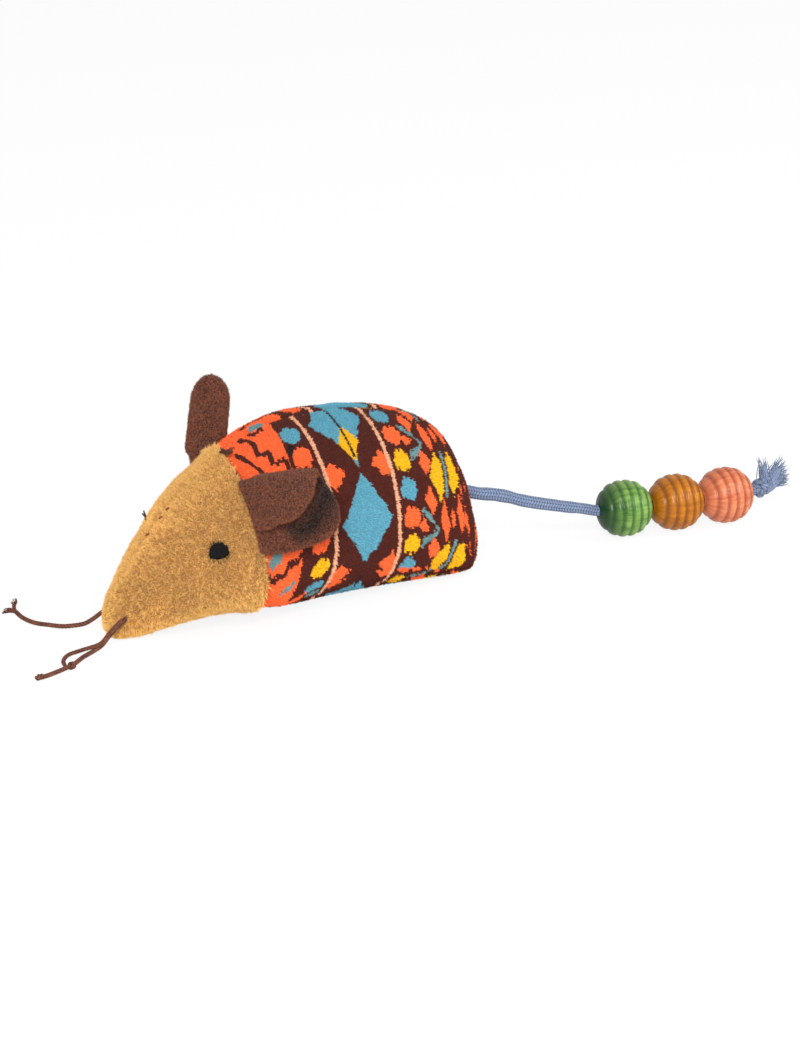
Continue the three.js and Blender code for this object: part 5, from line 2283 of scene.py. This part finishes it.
    def beads(self) -> list[Thing]:
        """Turn the three beads and thread them on the cord.

        Returns:
            The beads.
        """
        # The last number of each is the strength of the painted shade and reflection at the bead's end
        # towards the mouse.
        finishes = (
            ("green", linear(14, 48, 20), linear(72, 114, 42), linear(124, 160, 80), 1.0),
            ("ochre", linear(88, 42, 4), linear(150, 84, 6), linear(178, 110, 16), 0.3),
            ("coral", linear(122, 44, 28), linear(178, 92, 58), linear(204, 128, 90), 0.2),
        )
        made = []
        for k, (colour, *looks) in enumerate(finishes):
            name, finish = f"{colour}_bead", LacquerFinish(f"{colour}_lacquer", *looks)
            blank = Builder.add(f"{name}.dressed", [Vector((0, 0, 0))], [])
            bead = self.bead_rule(finish.made()).applied(blank)
            axis = Vector(self.bead_axes[k])
            turn = Vector((1, 0, 0)).rotation_difference(axis) @ Quaternion((1, 0, 0), 0.9 * k)
            place = Matrix.Translation(Vector(self.bead_places[k]) * MM)
            bead.data.transform(place @ turn.to_matrix().to_4x4())
            Builder.mended(bead.data)
            dressed(bead, body=name)
            made.append(bead)
        return made


@dataclass
class Eye:
    """A knot of black thread on the plush."""

    form: StuffedForm
    side: Side
    back: float
    height: float
    width: float = 3.9
    rise: float = 1.1

    def seat(self) -> tuple[Vector, Vector]:
        """Give the eye's place and the direction that it faces.

        Returns:
            The two.
        """
        x = self.form.nose + self.back
        ring = self.form.even_ring(x, 0.0, pi, 160, self.side)
        k = next(i for i, (p, _) in enumerate(ring) if p.z < self.height)
        above, below = ring[k - 1][0], ring[k][0]
        ahead = self.form.even_ring(x + 0.5, 0.0, pi, 160, self.side)[k][0]
        outward = (below - above).cross(ahead - below).normalized()
        return below, outward if outward.y * self.side.value > 0 else -outward

    def built(self) -> None:
        """Wind the knot from strands over a low dome."""
        place, outward = self.seat()
        across = Vector((1, 0, 0))
        across = (across - outward * across.dot(outward)).normalized()
        up = outward.cross(across)
        chance = random.Random(3)
        strands, lay = [], twisted(2, 0.9)
        turns = 19
        for k in range(turns):
            share = 2 * k / (turns - 1) - 1
            bow = sqrt(1 - 0.7 * share * share)
            low = across * (1.75 * share) - up * 1.45 * bow
            high = across * (1.35 * share + 0.15 + chance.uniform(-0.2, 0.2)) + up * 1.8 * bow
            if k % 4 == 3:
                low, high = (across * side - up * chance.uniform(0.2, 0.8) for side in (-1.75, 1.75))
            points = []
            for i in range(9):
                s = i / 8
                flat = low.lerp(high, s)
                lift = self.rise * (1 - (2 * s - 1) ** 2) * (1 - 0.3 * share * share) - 0.3
                points.append(place + flat + outward * (lift + 0.12 * (k % 3)))
            strands.append(Strand(Route(points, 0.2), 0.6, lay, sides=8, step=0.25, depth=0.25,
                                  taper=0.2).built("turn"))
        for _ in range(60):
            angle = chance.uniform(0, TAU)
            way = across * cos(angle) + up * sin(angle)
            root = place + way * self.width * 0.42 + outward * 0.2
            tip = root + way * chance.uniform(0.3, 0.8) + outward * chance.uniform(-0.1, 0.5)
            line = Route([root, root.lerp(tip, 0.5) + outward * 0.08, tip], 0.2)
            strands.append(Strand(line, 0.1, lay, sides=3, step=0.3, depth=0.1, taper=0.1).built("hair"))
        material = CottonFinish(f"{self.side.word}_black_thread", linear(3, 3, 3), linear(15, 13, 13),
                                mottle=0.3, sheen=0.0).made()
        dressed(Builder.joined(f"{self.side.word}_eye.dressed", strands), material)


def main() -> None:
    """Build the mouse and its studio."""
    logging.basicConfig(level=logging.INFO, format="%(name)s %(message)s")
    form = StuffedForm()
    Studio().built()
    Whiskers().built()
    Tail().built()
    Skin(form).built()
    Filling(form).built()
    Ear(form, Side.LEFT, drop=10.0, direction=Vector((0.86, -0.5, 0.1)).normalized(), radius=2.2, offset=2.4,
        skew=0.4, stand=1.0, gather=1.0, flap_length=15.0, flap_power=3.7, length=15.8, hem=0.07).built()
    Ear(form, Side.RIGHT, drop=7.6, direction=Vector((0.2, 0.1, 0.975)).normalized(), radius=2.95, offset=0.5,
        skew=0.0, stand=0.1, gather=0.4, leg=Vector((0.5, 0.84, -0.13)).normalized(), dome=3.4,
        flap_length=16.4, length=16.4, width=22.6, pinch=0.16).built()
    Stitching(form).built()
    Eye(form, Side.LEFT, back=19.2, height=18.0).built()
    Eye(form, Side.RIGHT, back=17.7, height=16.4).built()


if __name__ == "__main__":
    main()
